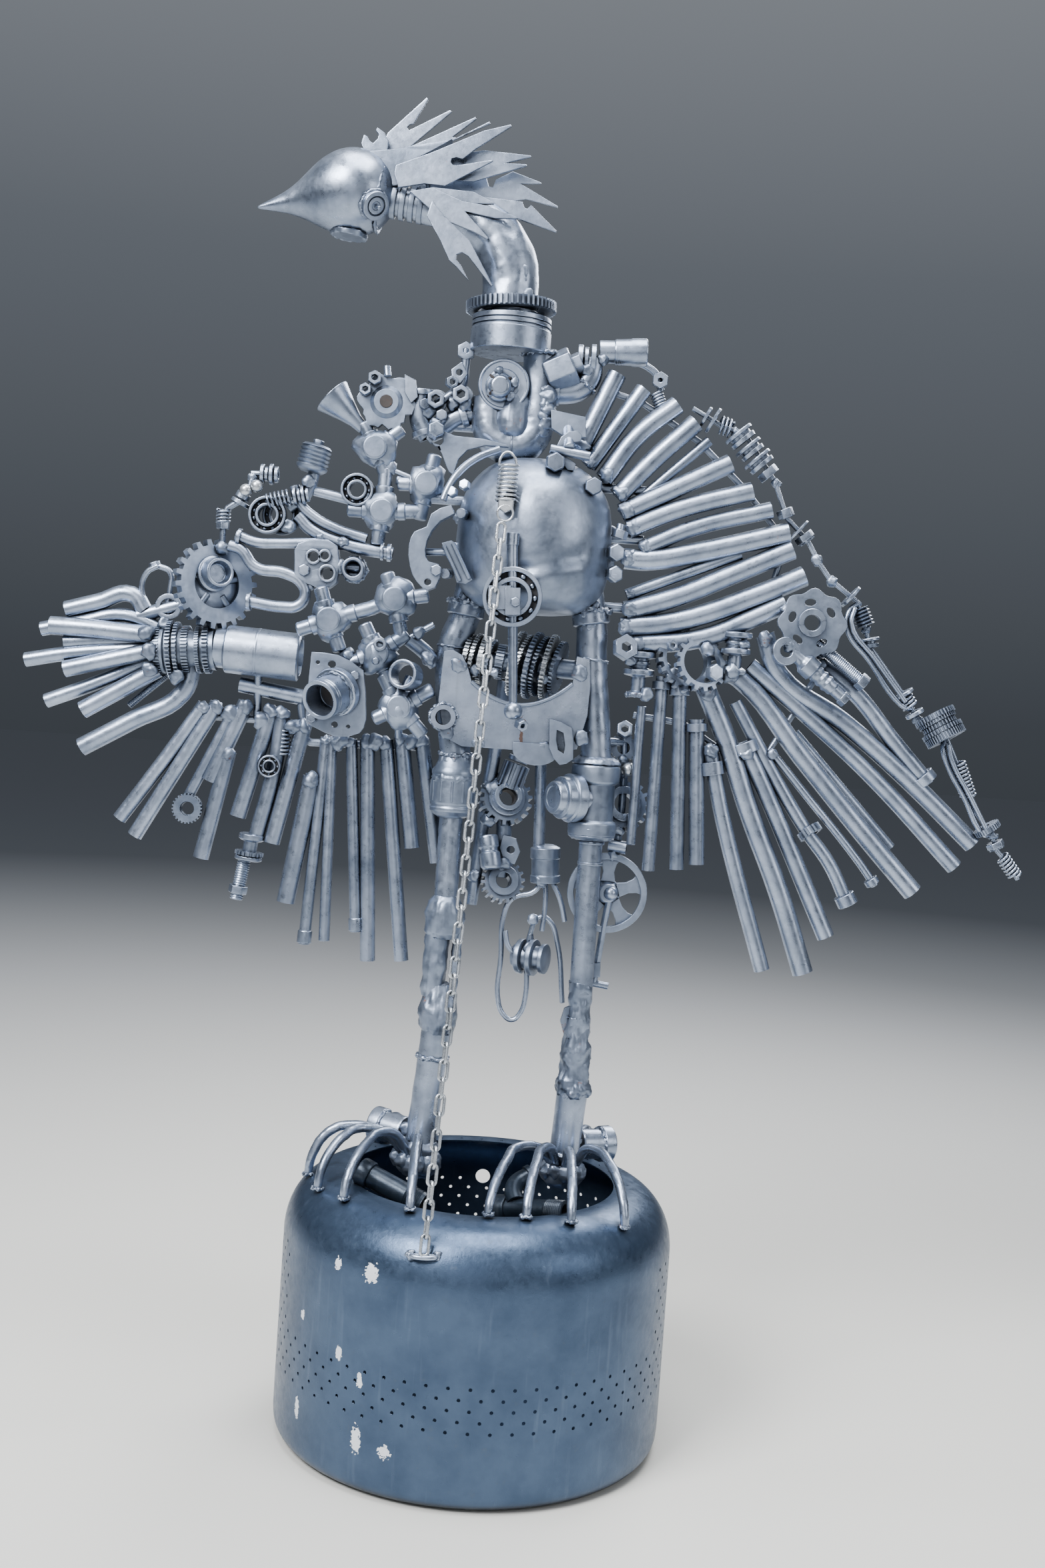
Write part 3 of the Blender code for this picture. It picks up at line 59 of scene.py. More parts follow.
# camera and studio
camera = {"place": (0.017, -2.10, 0.92), "pitch": 87, "roll": 4, "lens": 39.2, "sensor": 36}
photo = {"width": 1568, "height": 2352}
clearSelection()
bpy.ops.object.camera_add(location=camera["place"])
eye = bpy.context.object
eye.name = "photoCamera"
eye.rotation_euler = (Matrix.Rotation(math.radians(camera["pitch"]), 4, "X")
                      @ Matrix.Rotation(math.radians(camera["roll"]), 4, "Z")).to_euler()
eye.data.lens = camera["lens"]
eye.data.clip_start = 0.05
bpy.context.scene.camera = eye
print("camera set")

studio = {
    # name, place, aims at, size in metres, watts
    "keyLight": ((-1.7, -2.2, 3.1), (0, 0, 1.1), 1.5, 240),
    "fillLight": ((2.8, -1.8, 1.9), (0, 0, 0.9), 1.6, 24),
    "frontLight": ((-0.5, -4.6, 1.9), (0, 0, 0.9), 2.6, 28),
    "rimLight": ((1.2, 2.2, 2.7), (0, 0, 1.1), 1.6, 80),
    "topLight": ((0.1, -0.5, 3.5), (0, 0, 1.0), 1.8, 125),
}
for name, (place, target, size, watts) in studio.items():
    clearSelection()
    bpy.ops.object.light_add(type="AREA", location=place)
    lamp = bpy.context.object
    lamp.name = name
    lamp.data.size = size
    lamp.data.energy = watts
    lamp.rotation_euler = (Vector(target) - Vector(place)).to_track_quat("-Z", "Y").to_euler()


# finishes

def toLinear(hexColour):
    # sRGB hex to the linear values that a shader takes
    values = [int(hexColour[i:i + 2], 16) / 255 for i in (1, 3, 5)]
    return tuple(v / 12.92 if v <= 0.04045 else ((v + 0.055) / 1.055) ** 2.4 for v in values) + (1,)


def addNode(tree, kind, settings=None, links=None):
    node = tree.nodes.new(kind)
    for key, value in (settings or {}).items():
        if isinstance(key, str) and hasattr(node, key):
            setattr(node, key, value)
        else:
            node.inputs[key].default_value = value
    for key, source in (links or {}).items():
        tree.links.new(source, node.inputs[key])
    return node


def ramp(tree, source, stops):
    node = addNode(tree, "ShaderNodeValToRGB", links={"Fac": source})
    while len(node.color_ramp.elements) < len(stops):
        node.color_ramp.elements.new(0.5)
    for element, (at, colour) in zip(node.color_ramp.elements, stops):
        element.position = at
        element.color = toLinear(colour) if isinstance(colour, str) else (colour, colour, colour, 1)
    return node.outputs["Color"]


def mixColour(tree, share, first, second, blend="MIX"):
    node = addNode(tree, "ShaderNodeMix", {"data_type": "RGBA", "blend_type": blend}, {0: share})
    for index, value in ((6, first), (7, second)):
        if isinstance(value, str):
            node.inputs[index].default_value = toLinear(value)
        else:
            tree.links.new(value, node.inputs[index])
    return node.outputs[2]


def sprayPaint(name, light, dark, rust, rustShare, metallic, roughness, grit, castDepth=0.0,
               runColour="#6E757D"):
    # paint sprayed over old steel. grit is the grain of the surface under it, in millimetres
    material = bpy.data.materials.new(name)
    material.use_nodes = True
    tree = material.node_tree
    shader = tree.nodes["Principled BSDF"]
    place = addNode(tree, "ShaderNodeTexCoord").outputs["Object"]
    cloudSize, grimeSize, rustSize = 0.06, 0.011, 0.02  # metres: spray clouds, grime spots, rust spots
    clouds = addNode(tree, "ShaderNodeTexNoise", {"Scale": 1 / cloudSize, "Detail": 4, "Roughness": 0.6},
                     {"Vector": place}).outputs["Fac"]
    colour = ramp(tree, clouds, ((0.3, dark), (0.62, light)))
    grime = addNode(tree, "ShaderNodeTexNoise", {"Scale": 1 / grimeSize, "Detail": 6, "Roughness": 0.7},
                    {"Vector": place}).outputs["Fac"]
    colour = mixColour(tree, ramp(tree, grime, ((0.6, 0.0), (0.8, 0.45))), colour, "#59616B")
    runs = addNode(tree, "ShaderNodeMapping", {"Scale": (75, 75, 7)}, {"Vector": place}).outputs["Vector"]
    streaks = addNode(tree, "ShaderNodeTexNoise", {"Scale": 1, "Detail": 3}, {"Vector": runs}).outputs["Fac"]
    colour = mixColour(tree, ramp(tree, streaks, ((0.6, 0.0), (0.78, 0.35))), colour, runColour)
    spots = addNode(tree, "ShaderNodeTexNoise", {"Scale": 1 / rustSize, "Detail": 8, "Roughness": 0.72},
                    {"Vector": place}).outputs["Fac"]
    rusty = ramp(tree, spots, ((0.72 - rustShare, 0.0), (0.76 - rustShare, 0.9)))
    colour = mixColour(tree, rusty, colour, rust)
    # paint from a can stays out of the narrow gaps, which are dark with oil; the colour is also darkened
    # there as painted shade, where neighbouring parts close in
    openness = addNode(tree, "ShaderNodeAmbientOcclusion", {"samples": 4, "Distance": 0.018}).outputs["AO"]
    colour = mixColour(tree, ramp(tree, openness, ((0.3, 0.85), (0.78, 0.0))), colour, "#262A31")
    tree.links.new(colour, shader.inputs["Base Color"])
    sheen = addNode(tree, "ShaderNodeMapRange",
                    {"From Min": 0.3, "From Max": 0.7, "To Min": roughness - 0.08,
                     "To Max": roughness + 0.12},
                    {"Value": grime}).outputs["Result"]
    dull = addNode(tree, "ShaderNodeMath", {"operation": "MULTIPLY_ADD", 1: 0.35},
                   {0: rusty, 2: sheen}).outputs[0]
    tree.links.new(dull, shader.inputs["Roughness"])
    bare = addNode(tree, "ShaderNodeMath", {"operation": "MULTIPLY_ADD", 1: -metallic, 2: metallic},
                   {0: rusty}).outputs[0]
    tree.links.new(bare, shader.inputs["Metallic"])
    grain = addNode(tree, "ShaderNodeTexNoise", {"Scale": 1 / (grit * mm), "Detail": 3},
                    {"Vector": place}).outputs["Fac"]
    fine = addNode(tree, "ShaderNodeBump", {"Strength": 0.1, "Distance": 0.0004}, {"Height": grain})
    lumps = addNode(tree, "ShaderNodeTexNoise", {"Scale": 1 / (grit * 4 * mm), "Detail": 5},
                    {"Vector": place}).outputs["Fac"]
    coarse = addNode(tree, "ShaderNodeBump", {"Strength": 0.35, "Distance": 0.0006 + castDepth * mm},
                     {"Height": lumps, "Normal": fine.outputs["Normal"]})
    tree.links.new(coarse.outputs["Normal"], shader.inputs["Normal"])
    return material


# aluminium paint from a spray can, on pipe and bar: a bluish silver, brighter where the coat is thick
silver = sprayPaint("aluminiumSprayPaint", "#A9B5C9", "#7C889C", "#7A4A2B", 0.04, 0.93, 0.3, 3.2)
# the same coat on sand castings and forgings: it sinks into the grain, so it looks greyer and rougher
castSilver = sprayPaint("paintedCastIron", "#9AA6BA", "#6C788B", "#704426", 0.055, 0.9, 0.36, 4.0, 0.4)
# paint over weld metal: lumpy, with rust bleeding through
weldSilver = sprayPaint("paintedWeldMetal", "#939FB3", "#646F81", "#6E4024", 0.09, 0.88, 0.38, 4.0, 0.6)
# where the spray didn't reach: brown-black scale. The same finish also colours dark discs, strips and rings
# that are painted shade in holes, slots, cup floors and bearing gaps
scale = sprayPaint("rustyMillScaleAndPaintedShade", "#3A3432", "#231F1F", "#5A3520", 0.12, 0.2, 0.7, 3.0, 0.2)
# threaded water pipe, still in its dark oil
oiledIron = sprayPaint("oiledBlackPipe", "#2A3542", "#161D27", "#4A3024", 0.0, 0.6, 0.34, 2.0)
# blue-grey spray on stainless sheet
drumPaint = sprayPaint("blueGreySprayOnStainless", "#4B5C74", "#3D4D64", "#8F9CAE", 0.0, 0.82, 0.33, 1.6,
                       runColour="#6E7F98")
# zinc-plated chain, hardly painted
zinc = sprayPaint("zincPlatedSteel", "#D3D8DE", "#A5ADB6", "#6B5646", 0.0, 0.85, 0.26, 1.5)
finishes = {"silver": silver, "cast": castSilver, "weld": weldSilver, "scale": scale, "dark": oiledIron,
            "drum": drumPaint, "zinc": zinc}
print("finishes mixed")


# makers

def place(piece, base, direction=up, spin=0.0):
    turn = Vector(direction).to_track_quat("Z", "Y").to_matrix().to_4x4() @ Matrix.Rotation(spin, 4, "Z")
    piece.matrix_world = Matrix.Translation(Vector(base) * mm) @ turn
    return piece


def applyAll(piece):
    pick(piece)
    for modifier in list(piece.modifiers):
        bpy.ops.object.modifier_apply(modifier=modifier.name)
    return piece


def softEdges(piece, width=0.6, angle=40):
    # a small bevel on the sharp edges, which catches the light as worn edges do
    bevel = piece.modifiers.new("worn", "BEVEL")
    bevel.width = width * mm
    bevel.segments = 1
    bevel.limit_method = "ANGLE"
    bevel.angle_limit = math.radians(angle)
    return applyAll(piece)


def rounded(piece):
    rounding = piece.modifiers.new("rounding", "SUBSURF")
    rounding.levels = rounding.render_levels = 1
    return applyAll(piece)


def edit(piece):
    pick(piece)
    bpy.ops.object.mode_set(mode="EDIT")
    bpy.ops.mesh.select_all(action="SELECT")


def pickFaces(piece, wanted):
    # selects, in edit mode, the faces for which wanted(centre, normal) is true
    bpy.ops.object.mode_set(mode="OBJECT")
    for part in (piece.data.vertices, piece.data.edges, piece.data.polygons):
        part.foreach_set("select", [False] * len(part))
    for face in piece.data.polygons:
        face.select = wanted(face.center, face.normal)
    bpy.ops.object.mode_set(mode="EDIT")
    bpy.ops.mesh.select_mode(type="FACE")


def paint(piece, finish):
    piece.data.materials.clear()
    piece.data.materials.append(finishes[finish])
    return piece


def turned(profile, base=(0, 0, 0), direction=up, sides=24, finish="silver", edges=0.5):
    # a piece drawn out ring by ring from a disc. profile is (distance along the axis, radius) pairs
    clearSelection()
    bpy.ops.mesh.primitive_circle_add(vertices=sides, radius=profile[0][1] * mm, fill_type="NGON")
    piece = bpy.context.object
    bpy.ops.object.mode_set(mode="EDIT")
    bpy.ops.mesh.select_all(action="SELECT")
    bpy.ops.transform.translate(value=(0, 0, profile[0][0] * mm))
    for (height, radius), (nextHeight, nextRadius) in zip(profile, profile[1:]):
        bpy.ops.mesh.extrude_region_move(TRANSFORM_OT_translate={"value": (0, 0, (nextHeight - height) * mm)})
        grow = nextRadius / radius
        bpy.ops.transform.resize(value=(grow, grow, 1), center_override=(0, 0, nextHeight * mm))
    bpy.ops.mesh.select_all(action="SELECT")
    bpy.ops.mesh.normals_make_consistent(inside=False)
    bpy.ops.object.mode_set(mode="OBJECT")
    paint(piece, finish)
    if edges:
        softEdges(piece, edges)
    return place(piece, base, direction)


def ring(base, direction, outer, inner, thickness, sides=28, finish="silver", edges=0.6):
    # a washer or bearing race, bored right through
    clearSelection()
    bpy.ops.mesh.primitive_cylinder_add(vertices=sides, radius=outer * mm, depth=thickness * mm)
    piece = bpy.context.object
    edit(piece)
    bpy.ops.transform.translate(value=(0, 0, thickness / 2 * mm))
    pickFaces(piece, lambda centre, normal: abs(normal.z) > 0.9)
    bpy.ops.mesh.inset(thickness=(outer - inner) * mm)
    bpy.ops.mesh.bridge_edge_loops()
    bpy.ops.object.mode_set(mode="OBJECT")
    paint(piece, finish)
    if edges:
        softEdges(piece, edges)
    return place(piece, base, direction)


def nut(base, direction, across, thickness, bore=0.55, finish="silver"):
    # a hexagon nut, or a bolt's head where bore is 0
    if bore:
        return ring(base, direction, across / 2, across / 2 * bore, thickness, 6, finish, 0.8)
    return turned([(0, across / 2), (thickness * 0.85, across / 2), (thickness, across * 0.42)], base,
                  direction, 6, finish, 0.6)


def gearWheel(centre, direction, tip, root, bore, thickness, teeth, finish="cast", web=0.0):
    # a spur gear: every second face of the rim is drawn out to a tooth. web is how deep it is dished
    clearSelection()
    bpy.ops.mesh.primitive_cylinder_add(vertices=teeth * 2, radius=root * mm, depth=thickness * mm)
    piece = bpy.context.object
    bpy.ops.object.mode_set(mode="EDIT")
    step = math.pi / teeth
    rim = root * math.cos(step / 2) * mm

    def everySecond(centre, normal):
        turn = math.atan2(centre.y, centre.x) % (2 * math.pi)
        return abs(normal.z) < 0.1 and int(turn / step) % 2 == 0

    pickFaces(piece, everySecond)
    toothWidth = 2 * root * math.sin(step / 2)
    bpy.ops.mesh.inset(thickness=toothWidth * 0.16 * mm, depth=(tip - root) * mm, use_individual=True,
                       use_even_offset=False)
    pickFaces(piece, lambda centre, normal: abs(normal.z) > 0.9 and centre.xy.length < rim * 0.5)
    if web:
        bpy.ops.mesh.inset(thickness=root * 0.2 * mm)
        bpy.ops.mesh.inset(thickness=root * 0.05 * mm, depth=-web * mm)
        bpy.ops.mesh.inset(thickness=(root * 0.75 - bore * 1.5) * mm)
        bpy.ops.mesh.inset(thickness=bore * 0.1 * mm, depth=web * mm)
        bpy.ops.mesh.inset(thickness=bore * 0.4 * mm)
    else:
        bpy.ops.mesh.inset(thickness=(root - bore) * mm)
    bpy.ops.mesh.bridge_edge_loops()
    bpy.ops.mesh.select_all(action="SELECT")
    bpy.ops.mesh.normals_make_consistent(inside=False)
    bpy.ops.object.mode_set(mode="OBJECT")
    paint(piece, finish)
    return place(piece, centre, direction)


def meshed(curve):
    # turns a curve into a mesh piece
    piece = bpy.data.objects.new(curve.name, curve)
    bpy.context.scene.collection.objects.link(piece)
    pick(piece)
    bpy.ops.object.convert(target="MESH")
    return bpy.context.object


def route(points, across, bore=0.0, sides=16, widths=None, finish="silver", bent=True, closed=False):
    # a bar or pipe bent along the points. bore is its inner diameter, open at both ends; 0 is solid
    curve = bpy.data.curves.new("route", "CURVE")
    curve.dimensions = "3D"
    curve.bevel_depth = across / 2 * mm
    curve.bevel_resolution = (sides - 4) // 2
    curve.use_fill_caps = not bore
    curve.resolution_u = 6
    bent = bent and len(points) > 2
    spline = curve.splines.new("BEZIER" if bent else "POLY")
    spots = spline.bezier_points if bent else spline.points
    spots.add(len(points) - 1)
    for i, (spot, point) in enumerate(zip(spots, points)):
        spot.co = Vector(point) * mm if bent else (*(Vector(point) * mm), 1)
        spot.radius = widths[i] if widths else 1
        if bent:
            spot.handle_left_type = spot.handle_right_type = "AUTO"
    spline.use_cyclic_u = closed
    piece = paint(meshed(curve), finish)
    if bore:
        piece.data.materials.append(finishes["scale"])
        wall = piece.modifiers.new("wall", "SOLIDIFY")
        wall.thickness = (across - bore) / 2 * mm
        wall.offset = -1
        wall.material_offset = 1
        applyAll(piece)
    else:
        edit(piece)
        bpy.ops.mesh.remove_doubles(threshold=0.00001)
        bpy.ops.object.mode_set(mode="OBJECT")
        softEdges(piece, min(1.0, across * 0.08))
    return piece


def coil(base, direction, radius, wire, turns, length, finish="silver", perTurn=12):
    # a helical spring of round wire
    count = int(turns * perTurn)
    points = []
    for i in range(count + 1):
        share = i / count
        angle = 2 * math.pi * turns * share
        points.append((radius * math.cos(angle), radius * math.sin(angle), length * share))
    return place(route(points, wire, sides=8, finish=finish, bent=False), base, direction)


def plate(loops, depth, thickness, finish="silver", edge=0.8):
    # plate cut to an outline in the front view. loops are (x, z) pairs; those after the first are holes
    curve = bpy.data.curves.new("plate", "CURVE")
    curve.dimensions = "2D"
    curve.fill_mode = "BOTH"
    curve.extrude = (thickness / 2 - edge) * mm
    curve.bevel_depth = edge * mm
    curve.offset = -edge * mm
    curve.bevel_resolution = 1
    for loop in loops:
        spline = curve.splines.new("POLY")
        spline.points.add(len(loop) - 1)
        for spot, (x, z) in zip(spline.points, loop):
            spot.co = (x * mm, z * mm, 0, 1)
        spline.use_cyclic_u = True
    piece = meshed(curve)
    edit(piece)
    bpy.ops.mesh.remove_doubles(threshold=0.00001)
    bpy.ops.mesh.normals_make_consistent(inside=False)
    bpy.ops.object.mode_set(mode="OBJECT")
    paint(piece, finish)
    piece.matrix_world = Matrix.Translation((0, depth * mm, 0)) @ Matrix.Rotation(math.pi / 2, 4, "X")
    return piece


def roundHole(x, z, radius, count=16, squash=1.0):
    return [(x + radius * math.cos(2 * math.pi * i / count),
             z + squash * radius * math.sin(2 * math.pi * i / count))
            for i in range(count)]


def lumpy(piece, size, depth, finer=True):
    # moves the skin in and out as weld metal and rough castings are. size and depth in millimetres
    if finer:
        edit(piece)
        bpy.ops.mesh.subdivide(number_cuts=2 if len(piece.data.polygons) < 400 else 1)
        bpy.ops.object.mode_set(mode="OBJECT")
    where = piece.matrix_world
    for spot in piece.data.vertices:
        at = where @ spot.co / (size * mm)
        spot.co += spot.normal * depth * mm * (noise.noise(at) + 0.4 * noise.noise(at * 2.7))
    return piece


def bead(centre, direction, radius, width=4.0, finish="weld"):
    # a weld run right round a joint
    clearSelection()
    bpy.ops.mesh.primitive_torus_add(major_radius=radius * mm, minor_radius=width / 2 * mm, major_segments=36,
                                     minor_segments=8)
    piece = paint(bpy.context.object, finish)
    return lumpy(place(piece, centre, direction), 5, width * 0.55)


def blob(centre, size, finish="weld", flat=0.7):
    # a dab of weld metal
    clearSelection()
    bpy.ops.mesh.primitive_ico_sphere_add(subdivisions=3, radius=size / 2 * mm)
    piece = paint(bpy.context.object, finish)
    piece.matrix_world = Matrix.Translation(Vector(centre) * mm) @ Matrix.Diagonal((1, flat, 1, 1))
    return lumpy(piece, size * 0.5, size * 0.22, finer=False)


def ball(centre, radius, finish, sides=20, rings=12):
    clearSelection()
    bpy.ops.mesh.primitive_uv_sphere_add(segments=sides, ring_count=rings, radius=radius * mm,
                                         location=Vector(centre) * mm)
    return paint(bpy.context.object, finish)


threadDepth = 0.61  # of the pitch


def threadedBar(start, end, across, pitch=2.0, finish="silver", sides=14, bore=0.0):
    # a bar with a V thread cut on it
    way = Vector(end) - Vector(start)
    turns = int(way.length / pitch)
    deep = threadDepth * pitch / 2
    profile = [(0.1, across * 0.3)]
    for i in range(turns):
        profile += [(i * pitch + pitch * 0.2, across / 2 - deep), (i * pitch + pitch * 0.6, across / 2)]
    profile.append((way.length, across / 2 - deep))
    if bore:
        profile += [(way.length, bore / 2), (way.length * 0.4, bore / 2)]
    return turned(profile, start, way, sides, finish, edges=0)


def weldUp(name, pieces, *nodes, slot="silver_paint", smooth=38):
    # joins the pieces into one that stands for the CAD nodes
    clearSelection()
    bpy.context.view_layer.update()
    for piece in pieces:
        piece.select_set(True)
    bpy.context.view_layer.objects.active = pieces[0]
    if len(pieces) > 1:
        bpy.ops.object.join()
    whole = bpy.context.view_layer.objects.active
    bpy.ops.object.transform_apply(location=True, rotation=True, scale=True)
    bpy.ops.object.mode_set(mode="EDIT")
    bpy.ops.mesh.select_all(action="SELECT")
    bpy.ops.mesh.normals_make_consistent(inside=False)
    bpy.ops.object.mode_set(mode="OBJECT")
    bpy.ops.object.shade_smooth_by_angle(angle=math.radians(smooth))
    flats = whole.modifiers.new("flats", "WEIGHTED_NORMAL")
    flats.keep_sharp = True
    applyAll(whole)
    whole.name = whole.data.name = name
    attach(whole, "root")
    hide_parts(*nodes)
    print("made", name, len(whole.data.polygons), "faces")
    return whole


def seen(zoom, px, py, depth=0.0):
    # where a point of the photograph lies in the frame. zoom is an enlargement's left, top and scale
    u, v = zoom[0] + px / zoom[2] - photo["width"] / 2, photo["height"] / 2 - zoom[1] - py / zoom[2]
    focal = camera["lens"] / camera["sensor"] * photo["height"]
    roll, pitch = math.radians(camera["roll"]), math.radians(90 - camera["pitch"])
    a = (u * math.cos(roll) - v * math.sin(roll)) / focal
    b = (u * math.sin(roll) + v * math.cos(roll)) / focal
    at = Vector(camera["place"])
    reach = (depth * mm - at.y) / (math.cos(pitch) + b * math.sin(pitch))
    return Vector((at.x + reach * a, depth * mm, at.z + reach * (b * math.cos(pitch) - math.sin(pitch)))) / mm


# floor
clearSelection()
bpy.ops.mesh.primitive_plane_add(size=40)
floor = bpy.context.object
floor.name = "floor"
floorPaint = bpy.data.materials.new("paleFloor")
floorPaint.use_nodes = True
tree = floorPaint.node_tree
floorShader = tree.nodes["Principled BSDF"]
# painted shade on the floor: pale round the drum, its colour darkening towards the back of the room as the
# lamps' light falls off
ground = addNode(tree, "ShaderNodeTexCoord").outputs["Object"]
away = addNode(tree, "ShaderNodeVectorMath", {"operation": "LENGTH"}, {0: ground}).outputs["Value"]
reach = addNode(tree, "ShaderNodeMapRange", {"From Min": 0.6, "From Max": 6.5},
                {"Value": away}).outputs["Result"]
paintedFloorFalloff = ramp(tree, reach, ((0.0, "#CFCFCB"), (0.45, "#A9ABAE"), (1.0, "#565B62")))
tree.links.new(paintedFloorFalloff, floorShader.inputs["Base Color"])
floorShader.inputs["Roughness"].default_value = 0.9
floor.data.materials.append(floorPaint)
air = bpy.data.worlds.new("studio")
air.use_nodes = True
tree = air.node_tree
# the studio is bright overhead and dim lower down, so each pipe has a light side and a dark one
facing = addNode(tree, "ShaderNodeTexCoord").outputs["Generated"]
height = addNode(tree, "ShaderNodeSeparateXYZ", links={"Vector": facing}).outputs["Z"]
level = addNode(tree, "ShaderNodeMapRange", {"From Min": -1, "From Max": 1},
                {"Value": height}).outputs["Result"]
dome = ramp(tree, level, ((0.3, "#25292F"), (0.5, "#5A6068"), (0.62, "#868D97"), (0.85, "#E6ECF4")))
tree.links.new(dome, tree.nodes["Background"].inputs["Color"])
tree.nodes["Background"].inputs["Strength"].default_value = 0.5
bpy.context.scene.world = air


# drum
drum = {"radius": 240, "height": 320, "footRadius": 22, "shoulderDrop": 70, "shoulderRun": 60, "mouth": 165,
        "wall": 1.5, "columns": 120, "rowPitch": 12.6, "rows": 13, "topRow": 246, "hole": 2.4,
        "backHole": 10, "backHoleHeight": 250,
        # metres: one side has no perforations above this height, in the shell's own axes
        "plainFrom": 0.1, "plainAbove": 0.15}


def drumShoulder(radius):
    out = max(0, radius - (drum["radius"] - drum["shoulderRun"])) / drum["shoulderRun"]
    return drum["height"] - drum["shoulderDrop"] * (1 - math.sqrt(max(0, 1 - out**2)))


def makeDrum():
    d = drum
    profile = [(0.0, 120), (0.0, 205)]
    for i in range(5):
        angle = math.pi / 2 * i / 4
        profile.append((d["footRadius"] * (1 - math.cos(angle)),
                        d["radius"] - d["footRadius"] * (1 - math.sin(angle))))
    lowest = d["topRow"] - (d["rows"] - 0.5) * d["rowPitch"]
    profile += [(lowest - 30, d["radius"])]
    profile += [(lowest + i * d["rowPitch"], d["radius"]) for i in range(d["rows"] + 1)]
    for i in range(1, 9):
        angle = math.pi / 2 * i / 8
        profile.append((d["height"] - d["shoulderDrop"] * (1 - math.sin(angle)),
                        d["radius"] - d["shoulderRun"] * (1 - math.cos(angle))))
    profile += [(d["height"] - 0.3, d["mouth"] + 9), (d["height"] - 0.8, d["mouth"] + 4),
                (d["height"] - 1.2, d["mouth"])]
    shell = turned(profile, sides=d["columns"], finish="drum", edges=0)
    edit(shell)
    pickFaces(shell, lambda centre, normal: centre.z > (d["height"] - 1.3) * mm and centre.xy.length < 0.01)
    bpy.ops.mesh.delete(type="FACE")
    step = 2 * math.pi / d["columns"]

    def staggered(centre, normal):
        row = math.floor((centre.z / mm - lowest) / d["rowPitch"])
        column = int((math.atan2(centre.y, centre.x) % (2 * math.pi)) / step)
        if centre.y > d["plainFrom"] and centre.z > d["plainAbove"]:
            return False
        if 0 <= row < d["rows"]:
            return (row + column) % 2 == 0
        onLip = d["mouth"] + 3 < centre.xy.length / mm < d["mouth"] + 10 and centre.z > 0.3
        return onLip and column % 3 == 0 and centre.y < -0.05

    pickFaces(shell, staggered)
    bpy.ops.mesh.inset(thickness=(d["rowPitch"] / 2 - d["hole"]) * mm, use_individual=True)
    bpy.ops.mesh.delete(type="FACE")
    bpy.ops.object.mode_set(mode="OBJECT")
    rounded(shell)
    sheet = shell.modifiers.new("sheet", "SOLIDIFY")
    sheet.thickness = d["wall"] * mm
    sheet.offset = -1
    applyAll(shell)
    cutter = turned([(0, d["backHole"]), (160, d["backHole"])], (0, 160, d["backHoleHeight"]), back, 24,
                    "drum", 0)
    cut = shell.modifiers.new("hole", "BOOLEAN")
    cut.operation = "DIFFERENCE"
    cut.object = cutter
    applyAll(shell)
    bpy.data.objects.remove(cutter, do_unlink=True)
    return weldUp("perforatedDrum", [shell], "drum", slot="drum_paint", smooth=50)


# how ragged a chip's edge is: the share of its reach that the noise moves it, and the noise's grain
chipEdge = {"grain": 260, "ragged": 1.9, "reach": 1.85}


def chipPaint(material, chips, shown="#D5DAE2"):
    # spots where the coat has come off or run. chips are (centre, half width, half height)
    tree = material.node_tree
    shader = tree.nodes["Principled BSDF"]
    place = addNode(tree, "ShaderNodeTexCoord").outputs["Object"]
    ragged = addNode(tree, "ShaderNodeTexNoise", {"Scale": chipEdge["grain"], "Detail": 3},
                     {"Vector": place}).outputs["Fac"]
    nearest = None
    for centre, width, height in chips:
        off = addNode(tree, "ShaderNodeVectorMath", {"operation": "SUBTRACT", 1: centre * mm},
                      {0: place}).outputs[0]
        scaled = addNode(tree, "ShaderNodeVectorMath",
                         {"operation": "MULTIPLY", 1: (1000 / width, 1000 / width, 1000 / height)},
                         {0: off}).outputs[0]
        reach = addNode(tree, "ShaderNodeVectorMath", {"operation": "LENGTH"}, {0: scaled}).outputs["Value"]
        nearest = reach if nearest is None else addNode(tree, "ShaderNodeMath", {"operation": "MINIMUM"},
                                                        {0: nearest, 1: reach}).outputs[0]
    edge = addNode(tree, "ShaderNodeMath", {"operation": "MULTIPLY_ADD", 1: chipEdge["ragged"]},
                   {0: ragged, 2: nearest}).outputs[0]
    bare = addNode(tree, "ShaderNodeMath", {"operation": "LESS_THAN", 1: chipEdge["reach"]},
                   {0: edge}).outputs[0]
    coat = shader.inputs["Base Color"].links[0].from_socket
    tree.links.new(mixColour(tree, bare, coat, shown), shader.inputs["Base Color"])
    metal = shader.inputs["Metallic"].links[0].from_socket
    dull = addNode(tree, "ShaderNodeMath", {"operation": "SUBTRACT", "use_clamp": True},
                   {0: metal, 1: bare}).outputs[0]
    tree.links.new(dull, shader.inputs["Metallic"])


def onDrum(px, py):
    # the spot on the drum's side that shows at this point of the photograph
    spot = Vector((0, -drum["radius"], 0))
    for _ in range(6):
        spot = seen((0, 0, 1), px, py, -math.sqrt(max(0, drum["radius"]**2 - spot.x**2)))
    return spot


makeDrum()
chipPaint(drumPaint, [(onDrum(px, py), width, height) for px, py, width, height in (
    (507, 1895, 5, 8), (556, 1910, 9, 12), (454, 1971, 4, 7), (508, 2029, 5,
                                                               9), (539, 2071, 4, 10), (445, 2111, 5, 14),
    (533, 2160, 7, 16), (576, 2179, 8, 8))])


